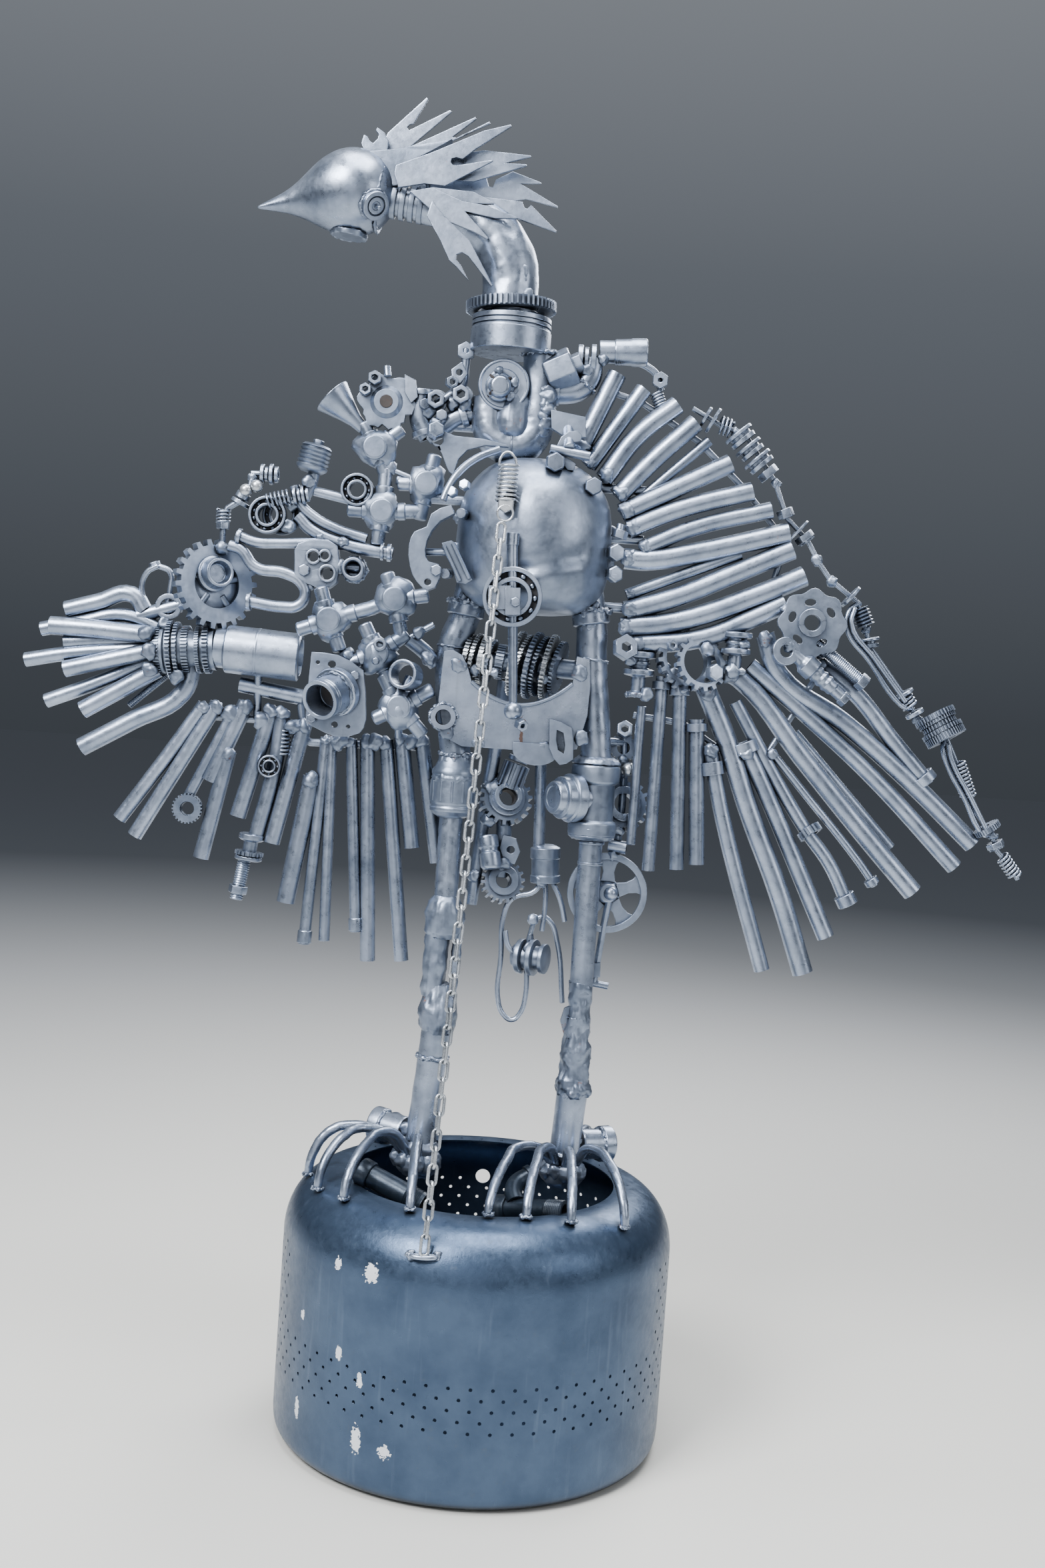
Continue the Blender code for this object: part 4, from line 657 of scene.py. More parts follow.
# body
def makeBody():
    r, x, base = 95, 10, 1020
    profile = [(0, 40), (0, 0.6 * r), (5, 0.72 * r), (14, 0.85 * r), (28, 0.94 * r), (46, 0.985 * r),
               (66, r), (92, r),
               (112, 0.99 * r), (130, 0.955 * r), (146, 0.89 * r), (160, 0.79 * r), (172, 0.66 * r),
               (181, 0.48 * r), (186, 0.25 * r)]
    shell = turned(profile, (x, 0, base), up, 56, "cast", edges=0)
    lumpy(rounded(shell), 60, 1.5)
    # the crease over the lower right of the breast, and the fold under it
    shell.data.transform(shell.matrix_world)
    shell.matrix_world = Matrix()
    start, end = seen((0, 0, 1), 782, 853, -92), seen((0, 0, 1), 866, 834, -70)
    for spot in shell.data.vertices:
        at = spot.co / mm
        along = max(0, min(1, (at - start).dot(end - start) / (end - start).length_squared))
        off = at - (start + (end - start) * along)
        if off.length < 45:
            out = Vector((at.x - x, at.y, 0)).normalized()
            crease = 9 * math.exp(-(off.length / 9)**2) * math.sin(math.pi * (0.15 + 0.7 * along))
            fold = 4 * math.exp(-((off.z + 17)**2 + off.x**2) / 160)
            spot.co += out * (fold - crease) * mm
    dabs = [blob((x + 93 * math.cos(a), 93 * math.sin(a), 1112 + 46 * math.sin(a * 3)), 17)
            for a in (-0.2, 0.1, 3.0, 3.3)]
    return weldUp("bodyDome", [shell] + dabs, "body_dome", smooth=60)


makeBody()

# right wing: pipes fanned out of the body. Each row is (diameter, points from the outer end inwards)
upperWing = {
    "pipes": (
        (24, (97, 0, 1316), (58, 0, 1222)),
        (21, (131, 0, 1300), (70, 0, 1203)),
        (24, (173, 0, 1284), (127, 0, 1243), (90, 0, 1188)),
        (24, (197, 0, 1264), (147, 0, 1214), (108, 0, 1168)),
        (13, (215, 4, 1244), (128, 4, 1160)),
        (24, (243, 0, 1218), (180, 0, 1184), (114, 0, 1149)),
        (24, (272, 0, 1186), (182, 0, 1157), (124, 0, 1130)),
        (21, (297, 0, 1165), (202, 0, 1136), (142, 0, 1107)),
        (26, (320, 0, 1139), (209, 0, 1107), (150, 0, 1094), (122, 0, 1094)),
        (15, (264, 4, 1110), (128, 4, 1050)),
        (25, (326, 0, 1119), (256, 0, 1084), (190, 0, 1052), (128, 0, 1030)),
        (26, (343, 0, 1088), (295, 0, 1064), (191, 0, 1022), (124, 0, 1010)),
        (24, (322, 0, 1053), (285, 0, 1033), (224, 0, 1004), (140, 0, 990)),
    ),
    "rod": ((86, 8, 1296), (128, 8, 1286), (204, 8, 1242), (262, 8, 1190), (306, 8, 1142), (312, 8, 1100),
            (298, 8, 1040)),
    "lugs": ((1178, 12), (1118, 12), (1034, 12)),
}


def makeUpperWing():
    pieces = []
    for across, *points in upperWing["pipes"]:
        pieces.append(route(points, across, across - 5, 20))
        inner, nextOut = Vector(points[-1]), Vector(points[-2])
        pieces.append(blob(inner + (nextOut - inner).normalized() * 6 + Vector((0, -across * 0.3, 0)),
                           across * 0.8))
    pieces.append(route(upperWing["rod"], 8, sides=10, bent=False))
    for height, across in upperWing["lugs"]:
        pieces.append(route([(144, 6, height), (40, 6, height)], across, sides=12))
    return weldUp("rightUpperPipes", pieces, "right_upper_tubes")


makeUpperWing()

lowerWing = {
    "pipes": (
        (21, (361, 10, 989), (415, 10, 953), (470, 10, 894), (517, 10, 845)),
        (24, (302, 10, 1014), (323, 10, 967), (407, 10, 913), (492, 10, 848), (578, 10, 774)),
        (21, (286, 10, 975), (355, 10, 923), (446, 10, 850), (558, 10, 744)),
        (15, (349, 22, 895), (479, 22, 761)),
        (25, (252, 10, 968), (275, 10, 958), (359, 10, 867), (441, 10, 779), (509, 10, 709)),
        (17, (272, 10, 929), (323, 10, 847), (369, 10, 779), (404, 10, 736), (428, 10, 692)),
        (22, (288, 10, 875), (307, 10, 841), (406, 10, 646)),
        (26, (233, 10, 945), (266, 10, 878), (298, 10, 798), (344, 10, 696), (381, 10, 599)),
        (20, (244, 10, 874), (268, 10, 782), (330, 10, 599)),
        (20, (226, 10, 904), (239, 10, 725)),
        (18, (202, 10, 950), (215, 10, 717)),
        (16, (180, 10, 954), (180, 10, 713)),
    ),
    "rods": (
        (10, (319, 10, 873), (369, 10, 819), (438, 10, 744), (462, 10, 714)),
        (12, (157, 10, 916), (156, 10, 744)),
        (8, (378, 18, 982), (346, 18, 920), (316, 18, 866), (280, 18, 856), (210, 18, 898), (148, 18, 904)),
    ),
}


def makeLowerWing():
    pieces = []
    for across, *points in lowerWing["pipes"]:
        pieces.append(route(points, across, across - 5, 20))
    for across, *points in lowerWing["rods"]:
        pieces.append(route(points, across, sides=12, bent=across != 8))
    # collars, caps and weld cups on the pipes
    collars = (
        # base, direction, outer, inner, thickness
        ((508, 10, 855), (0.7, 0, -0.72), 15, 9, 12), ((286, 10, 880), (0.4, 0, -0.9), 17, 10, 14),
        ((248, 10, 853), (0.2, 0, -1), 15, 9, 16), ((226, 10, 899), (0.1, 0, -1), 14, 9, 10),
        ((202, 10, 944), (0.06, 0, -1), 13, 8, 12), ((180, 10, 948), (0, 0, -1), 12, 7, 10),
        ((424, 10, 700), (0.5, 0, -0.87), 13, 7, 14), ((455, 10, 722), (0.6, 0, -0.8), 9, 4, 8),
    )
    for base, direction, outer, inner, thickness in collars:
        pieces.append(ring(base, direction, outer, inner, thickness))
    gear = gearWheel((376, 10, 775), (0.6, -0.3, -0.8), 16, 13, 9, 10, 14)
    pieces.append(gear)
    for spot, size in (((290, -1, 868), 20), ((246, -1, 866), 18), ((302, -1, 1008), 18),
                       ((262, -2, 962), 22),
                       ((236, -2, 938), 20), ((372, -2, 982), 16), ((206, 0, 940), 14), ((322, 2, 868), 14)):
        pieces.append(blob(spot, size))
    return weldUp("rightLowerPipes", pieces, "right_lower_tubes")


makeLowerWing()

# head and neck
headForm = {"centre": (-236, 0, 1511), "radius": 52, "beak": 119, "points": (-0.976, 0, -0.219)}
crestView = (360, 120, 3.136)


def makeHead():
    r, beak = headForm["radius"], headForm["beak"]
    profile = [(0, 0.8), (3, 2.2), (10, 4.4), (22, 8), (34, 12), (44, 16.4), (54, 22), (64, 29), (76, 37.5),
               (88, 44.5), (102, 49.8), (beak - 6, 51.8)]
    profile += [(beak + r * math.sin(a), r * math.cos(a)) for a in (0.08, 0.25, 0.45, 0.65, 0.85, 1.05,
                                                                    1.25, 1.45)]
    way = Vector(headForm["points"]).normalized()
    skull = turned(profile, Vector(headForm["centre"]) + way * beak, -way, 48, "silver", edges=0)
    lumpy(rounded(skull), 45, 0.5)
    chin = turned([(0, 18), (0, 22), (5, 23), (9, 19)], (-240, 0, 1457), (0.1, 0, 1), 28, "weld")
    lumpy(chin, 6, 1.6)
    seam = bead((-203, 0, 1505), (1, 0, -0.1), 39, 4)
    return weldUp("birdHead", [skull, chin, seam], "head", smooth=50)


def makeEye(name, towards, node):
    way = Vector(towards).normalized()
    base = Vector(headForm["centre"]) + way * (headForm["radius"] - 4)
    cup = turned([(0, 17), (8, 17.4), (9.6, 16.6), (9.6, 12.2), (7, 11.6), (7, 10.6), (9, 10), (9, 5.5),
                  (8, 5)],
                 base, way, 36, "silver", edges=0.3)
    pin = turned([(0, 2.6), (13, 2.6), (14, 1.8)], base + Vector((1.5, 0, -1)), way, 12, "silver", edges=0.3)
    weld = bead(base + way * 3, way, 17.5, 3.4)
    return weldUp(name, [cup, pin, weld], node)


makeHead()
makeEye("nearEyeCup", (29, -36, -23), "near_eye")
makeEye("farEyeCup", (-30, 28, 32), "far_eye")

crest = {
    # node number: depth, outline on the enlargement
    1: (14, ((697, 250), (880, 84), (888, 92), (818, 208), (800, 211), (787, 224), (796, 238), (812, 231),
             (990, 143), (997, 152), (800, 318), (757, 350), (660, 372), (655, 345))),
    2: (8, ((720, 345), (825, 305), (1108, 176), (1113, 185), (1000, 270), (1020, 274), (1174, 197),
            (1178, 208), (1050, 262), (900, 345), (740, 400))),
    3: (-28, ((735, 402), (905, 342), (1150, 240), (1275, 211), (1279, 220), (1112, 325), (1048, 374),
              (1020, 366),
              (997, 372), (993, 388), (1003, 402), (1020, 404), (1185, 378), (1191, 384), (1040, 462),
              (965, 500), (870, 489), (745, 507), (728, 440))),
    4: (-16, ((850, 400), (1060, 345), (1150, 332), (1368, 357), (1370, 364), (1250, 393), (1348, 398),
              (1350, 406),
            (1200, 450), (1100, 480), (860, 470))),
    5: (4, ((800, 470), (1050, 455), (1165, 447), (1162, 470), (1172, 503), (1190, 506), (1205, 470),
            (1285, 432),
             (1416, 483), (1418, 490), (1322, 490), (1497, 596), (1494, 602), (1345, 562), (1240, 580),
            (1000, 540),
             (820, 520))),
    6: (-8, ((1090, 545), (1235, 562), (1330, 575), (1337, 600), (1352, 608), (1370, 590), (1491, 712),
             (1487, 719),
            (1290, 648), (1110, 610))),
    7: (-26, ((905, 505), (1100, 528), (1195, 578), (1195, 586), (1060, 584), (930, 560))),
    8: (-32, ((800, 525), (905, 507), (1048, 572), (1160, 592), (1303, 646), (1305, 655), (1200, 652),
              (1060, 620), (1168, 742), (1165, 752), (1100, 715), (950, 655), (880, 595))),
    9: (-35, ((905, 570), (960, 640), (1080, 755), (1135, 860), (1188, 965), (1183, 972), (1075, 830),
              (1045, 812),
              (1020, 822), (1018, 845), (1040, 872), (1076, 945), (1020, 882), (985, 850), (945, 760),
              (880, 640))),
}


def plateSeen(zoom, outline, depth, thickness, holes=(), finish="silver"):
    # a plate cut to an outline read off an enlargement; holes are (x, y, radius) there
    loops = [[(p.x, p.z) for p in (seen(zoom, x, y, depth) for x, y in outline)]]
    for x, y, radius in holes:
        centre = seen(zoom, x, y, depth)
        loops.append(roundHole(centre.x, centre.z, radius / zoom[2] * 0.82))
    return plate(loops, depth, thickness, finish)


def makeCrest():
    for number, (depth, outline) in crest.items():
        blade = plateSeen(crestView, outline, depth, 4)
        foot = seen(crestView, *outline[-1], depth)
        stay = route([foot + Vector((8, 2, 0)), Vector((foot.x + 4, depth * 0.3, 1503))], 6, sides=10,
                     finish="weld")
        weldUp(f"crestBlade{number}", [blade, stay, blob(foot + Vector((6, 3, 0)), 10)],
               f"crest_blade_{number}")
    jaws = plateSeen(crestView, ((590, 352), (573, 300), (585, 262), (600, 268), (612, 290), (628, 302),
                                 (650, 280),
                                 (655, 260), (642, 240), (648, 227), (680, 250), (700, 290), (698, 320),
                                 (690, 356)),
                     2, 8, finish="cast")
    weldUp("crownSpanner", [jaws], "crown_spanner")


makeCrest()


def makeNeck():
    bend = route([(-40, 0, 1386), (-40, 0, 1418), (-48, 0, 1450), (-72, 0, 1478), (-108, 0, 1492),
                  (-142, 0, 1498),
                  (-200, 0, 1506)], 69, sides=40, widths=(1, 0.98, 0.97, 0.9, 0.74, 0.58, 0.5))
    lumpy(bend, 22, 1.3)
    pieces = [bend]
    for i in range(4):
        pieces.append(ring((-190 + 11 * i, 0, 1504.5 - 1.3 * i), (1, 0, -0.12), 21.5, 12, 6.5, 32, "cast"))
    for x, y, size in ((1250, 850, 16), (1322, 895, 18), (1275, 960, 13), (1352, 1005, 14), (1240, 680, 11),
                       (1290, 810, 10), (1330, 930, 10)):
        spot = seen(crestView, x, y, -26)
        pieces.append(blob((spot.x, -27, spot.z), size, flat=0.35))
    collar = plateSeen(crestView, ((600, 348), (640, 378), (676, 440), (688, 507), (745, 507), (760, 420),
                                   (905, 345), (1000, 290), (830, 318), (740, 335)), -10, 20, finish="weld")
    lumpy(collar, 9, 1.0)
    pieces.append(collar)
    pieces.append(bead((-37, 0, 1390), up, 33, 4))
    return weldUp("neckPipe", pieces, "neck_pipe", smooth=50)


def makeCollar():
    wheel = gearWheel((-37, 0, 1386.3), (-0.05, 0, 1), 55, 51, 41, 12, 52, "cast")
    weldUp("collarGear", [wheel], "collar_gear")
    r = 49
    profile = [(-7, r - 1), (-5.8, r), (19, r), (19.4, r - 1.2), (22, r - 1.2), (22.4, r - 3),
               (23.6, r - 3), (24, r - 0.6),
               (28, r - 0.6), (28.4, r - 3), (29.6, r - 3), (30, r - 0.8), (35, r - 0.8), (36, r - 1.8),
               (36, 34), (42, 34)]
    weldUp("neckPiston", [turned(profile, (-35, 0, 1338), up, 64, "silver", edges=0.3)], "neck_piston")
    bend = route([(-54, 0, 1276), (-54, 0, 1254), (-50, 0, 1236), (-40, 0, 1225), (-25, 0, 1220),
                  (-10, 0, 1225), (-1, 0, 1236), (3, 0, 1254), (3, 0, 1337)], 44, sides=32,
                 widths=(1, 1, 1.04, 1.08, 1.1, 1.08, 1.04, 1, 0.94))
    lumpy(bend, 18, 1.0)
    seam = bead((-25, 0, 1220), (1, 0, 0), 24.5, 2)
    crotch = turned([(0, 17), (10, 24), (24, 25), (44, 22), (60, 17)], (-26, -4, 1226), up, 30, "weld")
    lumpy(crotch, 12, 2.2)
    weld = [blob((12 + 3 * (i % 2), -17, 1240 + 8 * i), 17 + 4 * (i % 2), flat=0.8)
            for i in range(7)] + [crotch]
    upper = bead((3, 0, 1333), up, 22, 6)
    weldUp("neckBase", [bend, seam, upper] + weld, "neck_base", smooth=55)


makeNeck()
makeCollar()

# things on the chest
def bearing(base, direction, outer, inner, thickness, balls, finish="silver"):
    # two races with the balls between them, and behind the balls a dark ring that is painted shade in the gap
    # between the races
    way = Vector(direction).normalized()
    middle = (outer + inner) / 2
    gap = outer - inner
    ballRadius = gap * 0.22
    pieces = [ring(base, direction, outer, outer - gap * 0.3, thickness, 40, finish),
              ring(base, direction, inner + gap * 0.3, inner, thickness, 32, finish),
              ring(Vector(base) + way * thickness * 0.25, direction, outer - gap * 0.25,
                   inner + gap * 0.25, thickness * 0.3, 32, "scale", 0)]
    turn = way.to_track_quat("Z", "Y").to_matrix()
    for i in range(balls):
        angle = 2 * math.pi * i / balls
        out = Vector((middle * math.cos(angle), middle * math.sin(angle), 0))
        at = Vector(base) + way * thickness * 0.62 + turn @ out
        pieces.append(ball(at, ballRadius, finish, 12, 8))
    return pieces


chestView = (640, 640, 4.356)
shoulderZoom = (380, 480, 3.733)


def makeChest():
    y = -101.3
    rod = route([(-15, y, 1106), (-12, y, 1060), (-8, y, 1010), (-4, y, 955), (0, y, 900)], 12, sides=20,
                widths=(1.1, 1.08, 1, 0.9, 0.78), bent=False)
    pieces = [rod, route([(-14, y, 1106), (-14, y, 1092)], 15, sides=20)]
    pieces += bearing((-10, y + 8, 1032), front, 35, 18, 15, 11)
    pieces.append(plate([[(-38, 1043), (-12, 1045), (-12, 1017), (-38, 1015)]], y - 4, 12))
    pieces.append(plate([[(-19, 1042), (-1, 1043), (1, 1011), (-17, 1010)]], y, 22))
    pieces.append(nut((-6, y - 9, 1026), front, 12, 8, 0))
    pieces.append(turned([(0, 4), (2, 8), (6, 10.3), (10, 11), (14, 10.3), (18, 8), (20, 4)], (0, y, 890),
                         up, 24))
    pieces.append(nut((8, y - 2, 886), (0.5, -0.8, -0.3), 15, 10, 0.5))
    weldUp("breastRod", pieces, "breast_rod")
    spring = coil((-26, -96, 1142), (0.04, 0, 1), 11, 3.2, 9, 44, "zinc", 16)
    hook = route([(-15, -96, 1184), (-20, -96, 1196), (-28, -94, 1200), (-35, -94, 1192), (-36, -94, 1184)],
                 3.2, sides=8, finish="zinc")
    bolt = nut((-25, -93, 1139), front, 21, 12, 0, "zinc")
    loop = route([(-25 + 9 * math.cos(a), -104, 1128 + 9 * math.sin(a)) for a in
                  [2 * math.pi * i / 16 for i in range(16)]], 3, sides=8, finish="zinc", closed=True)
    weldUp("chestSpring", [spring, hook, bolt, loop], "chest_spring")
    # bracket, band, bolts and a hooked spanner round the top of the body
    bracket = plateSeen(shoulderZoom, ((970, 665), (985, 640), (1015, 620), (1070, 625), (1130, 650),
                                       (1290, 668), (1420, 700),
                                       (1430, 715), (1300, 705), (1200, 730), (1150, 780), (1120, 868),
                                       (1095, 850),
                                       (1060, 760), (1040, 705), (990, 690)), -34, 8, ((1035, 675, 30),),
                        "cast")
    band = route([seen(shoulderZoom, x, y, z) for x, y, z in ((1380, 722, -42), (1250, 775, -52),
                                                              (1150, 855, -60),
                                                            (1090, 945, -64), (1062, 1010, -66))], 9,
                 sides=12)
    cap = nut(seen(shoulderZoom, 1018, 630, -38), (0.2, -1, 0.3), 22, 12, 0)
    bolts = [nut(seen(shoulderZoom, x, y, -60), (-0.3, -1, 0.2), 14, 9, 0)
             for x, y in ((1120, 970), (1190, 930))]
    weldUp("shoulderBracket", [bracket, band, cap] + bolts, "dome_bracket")
    clip = plate([[(20, 1262), (62, 1256), (64, 1232), (40, 1230), (22, 1240)]], -30, 12, "cast")
    hookPlate = plateSeen(chestView, ((860, 190), (855, 120), (880, 70), (930, 35), (985, 28), (1018, 60),
                                      (1005, 100),
                                      (960, 105), (915, 120), (905, 165), (915, 200), (975, 245), (960, 290),
                                      (920, 285), (880, 230)), -52, 8, finish="cast")
    stem = route([(42, -30, 1242), (43, -46, 1228), (44, -62, 1214)], 13, sides=16)
    hexes = [nut(seen(chestView, 835, 240, -62), (0.1, -1, 0), 24, 16, 0),
             nut(seen(chestView, 1090, 395, -52), front, 22, 14, 0),
             nut(seen(chestView, 1222, 825, -34), (0.4, -1, 0), 22, 12, 0),
             nut(seen(chestView, 1210, 965, -34), (0.5, -1, 0), 21, 12, 0),
             nut(seen(chestView, 1255, 730, -30), (0.2, 0, 1), 20, 10, 0.5)]
    shank = route([seen(chestView, 1270, 640, -26), seen(chestView, 1255, 720, -28)], 10, sides=14)
    bar = route([(22, -60, 1212), (70, -60, 1206)], 11, sides=12)
    weldUp("hookedSpanner", [clip, hookPlate, stem, bar, shank] + hexes, "dome_hook")


makeChest()
print("head, neck and chest built")

# chain from the breast spring to the eye on the drum
chainForm = {"pitch": 19.0, "wire": 4.0, "width": 13.5}


def makeChain():
    start, end = Vector((-28, -112, 1114)), Vector((-56, -231, 292))
    run = end - start
    count = int(run.length / chainForm["pitch"])
    pitch, wire = run.length / count, chainForm["wire"]
    bow, half = (chainForm["width"] - wire) / 2, (pitch + wire) / 2
    lean = run.to_track_quat("-Z", "Y").to_matrix().to_4x4()
    outline = []
    for i in range(12):
        angle = math.pi * i / 11
        outline.append((bow * math.cos(angle), 0, half - bow + bow * math.sin(angle)))
    outline += [(-x, 0, -z) for x, _, z in outline]
    links = []
    for i in range(count):
        link = route(outline, wire, sides=8, finish="zinc", bent=False, closed=True)
        twist = Matrix.Rotation(math.pi / 2 * (i % 2) + 0.6 + random.uniform(-0.16, 0.16), 4, "Z")
        link.matrix_world = Matrix.Translation((start + run * ((i + 0.5) / count)) * mm) @ lean @ twist
        links.append(link)
    weldUp("breastChain", links, "chain", smooth=60)
    x, y, z = -56, -222, 288
    bow = route([(x + 15 * math.cos(a), y - 3 - 7 * math.sin(a), z)
                 for a in (0, 0.5, 1.0, 1.57, 2.1, 2.6, math.pi)],
                6, sides=12)
    foot = route([(x - 18, y - 3, z - 1), (x + 18, y - 3, z - 1)], 8, sides=12)
    welds = [blob((x + side * 15, y - 2, z), 12) for side in (-1, 1)]
    weldUp("chainEye", [bow, foot] + welds, "drum_eye")


makeChain()


# hips, the cradle plate between them, and the gearbox rings behind it
def makeHips():
    for name, node, points in (
            ("leftHipPipe", "left_hip", [(-62, 0, 1052), (-68, 0, 1010), (-80, 0, 972), (-78, 0, 910),
                                         (-68, 0, 841)]),
            ("rightHipPipe", "right_hip", [(80, 0, 1052), (88, 0, 1010), (91, 0, 968), (98, 0, 910),
                                           (106, 0, 841)])):
        pipe = route(points, 38, sides=28)
        lumpy(pipe, 16, 0.7)
        collar = turned([(0, 20), (2, 23), (14, 23), (18, 20)], points[1],
                        Vector(points[0]) - Vector(points[1]), 28)
        welds = [bead(Vector(points[1]) + Vector((0, 0, 18)), (0, 0, 1), 20, 7), bead(points[-1], up, 19, 5),
                 bead(points[2], (0.1, 0, 1), 19, 3)]
        side = -1 if points[0][0] < 0 else 1
        welds += [blob((points[1][0] + side * x, -17, 1018 + z), size, flat=0.5)
                  for x, z, size in ((-8, 6, 17), (2, 12, 15), (9, 4, 14), (-2, -8, 13))]
        weldUp(name, [pipe, collar] + welds, node, smooth=50)


def makeSaddle():
    # arc of the sagging upper edge, then the corners round the plate
    arc = [(-53 + 122 * t / 12, 931 + 6 * t / 12 - 27 * 4 * t / 12 * (1 - t / 12)) for t in range(13)]
    edge = [(-89, 966), (-78, 968), (-66, 962), (-58, 946), *arc, (71, 955), (72, 970), (88, 968),
            (91, 935), (90, 900), (80, 858), (50, 852), (-60, 852), (-82, 862), (-92, 905)]
    finishes["rustRun"] = silver.copy()
    finishes["rustRun"].name = "aluminiumPaintWithRustRun"
    chipPaint(finishes["rustRun"], [(seen((0, 0, 1), px, py, -28), across, tall) for px, py, across, tall in (
        (783, 1086, 5, 8), (782, 1106, 2.4, 18))], "#4C3A34")
    pieces = [plate([edge], -24, 8, "rustRun")]
    rim = route([(x, -29, z) for x, z in arc], 5, sides=10, finish="weld")
    half = plate([[(2 + 28 * (1 - math.cos(a)), 853 - 18 * math.sin(a))
                   for a in [math.pi * i / 14 for i in range(15)]]
                  + [(58, 862), (2, 862)]], -24, 14, "cast")
    lug = plate([[(44, 893), (58, 890), (72, 884), (75, 866), (76, 846), (68, 840), (60, 838), (52, 846),
                  (46, 858)],
                 [(54, 880), (62, 877), (65, 862), (64, 852), (57, 856), (54, 868)]], -33, 12, "cast")
    stub = route([(-84, -18, 886), (-84, -44, 886)], 30, 19, 24)
    collar = ring((-84, -18, 886), front, 18, 13, 8)
    pieces += [rim, half, lug, stub, collar, bead((-84, -27, 886), front, 16, 5)]
    for x, z, size in ((-70, 950, 18), (78, 950, 20), (-80, 868, 16), (84, 872, 18), (40, 858, 14),
                       (-40, 856, 14)):
        pieces.append(blob((x, -28, z), size, flat=0.45))
    weldUp("cradlePlate", pieces, "saddle_plate")


def makeGearboxRings():
    base, way = Vector((-76, 6, 960)), Vector((1, 0, -0.04)).normalized()
    pieces = [turned([(2, 12), (158, 12)], base, way, 20, "cast")]
    rings = (
        # along the shaft, tip, root, bore, thickness, teeth, lean
        (16, 30, 27.5, 20, 6, 36, -0.16), (25, 32, 29, 14, 5, 40, -0.2), (34, 30, 28, 20, 6, 36, -0.14),
        (43, 27, 24.5, 14, 6, 30, -0.2), (56, 22, 20, 10, 10, 30, -0.1),
        (76, 41, 37.5, 27, 6, 44, -0.2), (86, 38, 35.5, 18, 5, 48, -0.3), (96, 42, 38.5, 28, 6, 42, -0.22),
        (106, 38, 35, 20, 5, 46, -0.3), (116, 41, 37.5, 26, 6, 44, -0.2), (127, 34, 31.5, 14, 5, 38, -0.26),
    )
    for along, tip, root, bore, thickness, teeth, lean in rings:
        direction = (way + Vector((0, lean, lean * 0.6))).normalized()
        pieces.append(gearWheel(base + way * along, direction, tip, root, bore, thickness, teeth,
                                "cast" if teeth % 4 else "zinc"))
    for along, size in ((24, 14), (50, 12), (88, 16), (108, 14)):
        pieces.append(blob(base + way * along + Vector((0, -24, -14)), size))
    weldUp("gearboxRings", pieces, "synchro_rings")


makeHips()
makeSaddle()
makeGearboxRings()


# legs
def makeLeftLeg():
    sleeve = turned([(0, 17), (3, 22), (8, 27.2), (12, 27.5), (14, 26), (17, 26), (19, 27.5), (46, 27.5),
                     (48, 26), (51, 26),
                     (53, 27.5), (58, 27.2), (62, 24), (70, 20), (77, 18)], (-68, 0, 763), up, 36, "cast")
    pieces = [sleeve]
    for i in range(12):  # raised ribs down the sleeve's side
        angle = 2 * math.pi * i / 12
        at = Vector((-68 + 26.6 * math.cos(angle), 26.6 * math.sin(angle), 783))
        pieces.append(route([at, at + Vector((0, 0, 25))], 4, sides=8, finish="cast"))
    cone = turned([(0, 26), (6, 28), (14, 25), (22, 21), (30, 19.4), (36, 18.5)], (-68, 0, 806), up, 36,
                  "weld")
    lumpy(cone, 7, 2.2)
    pipe = route([(-68, 0, 770), (-68, 0, 712), (-68, 0, 645)], 29, sides=24)
    lumpy(pipe, 8, 0.5)
    # knee: a thick strand and a thin one beside it, then a thick weld
    strands = []
    for x, wide in ((-77, 1.5), (-52, 0.55)):
        strand = turned([(0, 9 * wide), (10, 10 * wide), (24, 9.4 * wide), (40, 10.4 * wide),
                         (56, 9.6 * wide), (72, 10.4 * wide),
                        (88, 11.5 * wide), (98, 12 * wide), (106, 9 * wide)], (x, 0, 540), (0.03, 0, 1), 22,
                        "cast")
        lumpy(strand, 12, 2.2)
        strands.append(strand)
    upper = turned([(0, 19), (8, 23), (30, 24), (44, 20), (52, 15)], (-68, 0, 614), up, 28, "cast")
    lumpy(upper, 13, 2.4)
    rear = route([(-68, 9, 640), (-68, 9, 540)], 12, sides=14, finish="cast")
    weld = turned([(0, 18), (10, 22), (24, 25), (38, 22), (50, 17), (62, 13)], (-68, 0, 494), up, 32, "weld")
    lumpy(weld, 10, 2.8)
    shin = route([(-80, 0, 344), (-74, 0, 425), (-68, 0, 506)], 37, sides=28, widths=(1.04, 1.0, 0.98))
    lumpy(shin, 18, 0.8)
    foot = turned([(0, 23), (8, 24), (16, 20)], (-80, 0, 343), (0.07, 0, 1), 28, "weld")
    lumpy(foot, 8, 1.6)
    band = bead((-71, 0, 464), (0.07, 0, 1), 19, 5)
    pieces += [cone, pipe, upper, rear, weld, shin, foot, band] + strands
    weldUp("leftLeg", pieces, "left_leg", smooth=50)


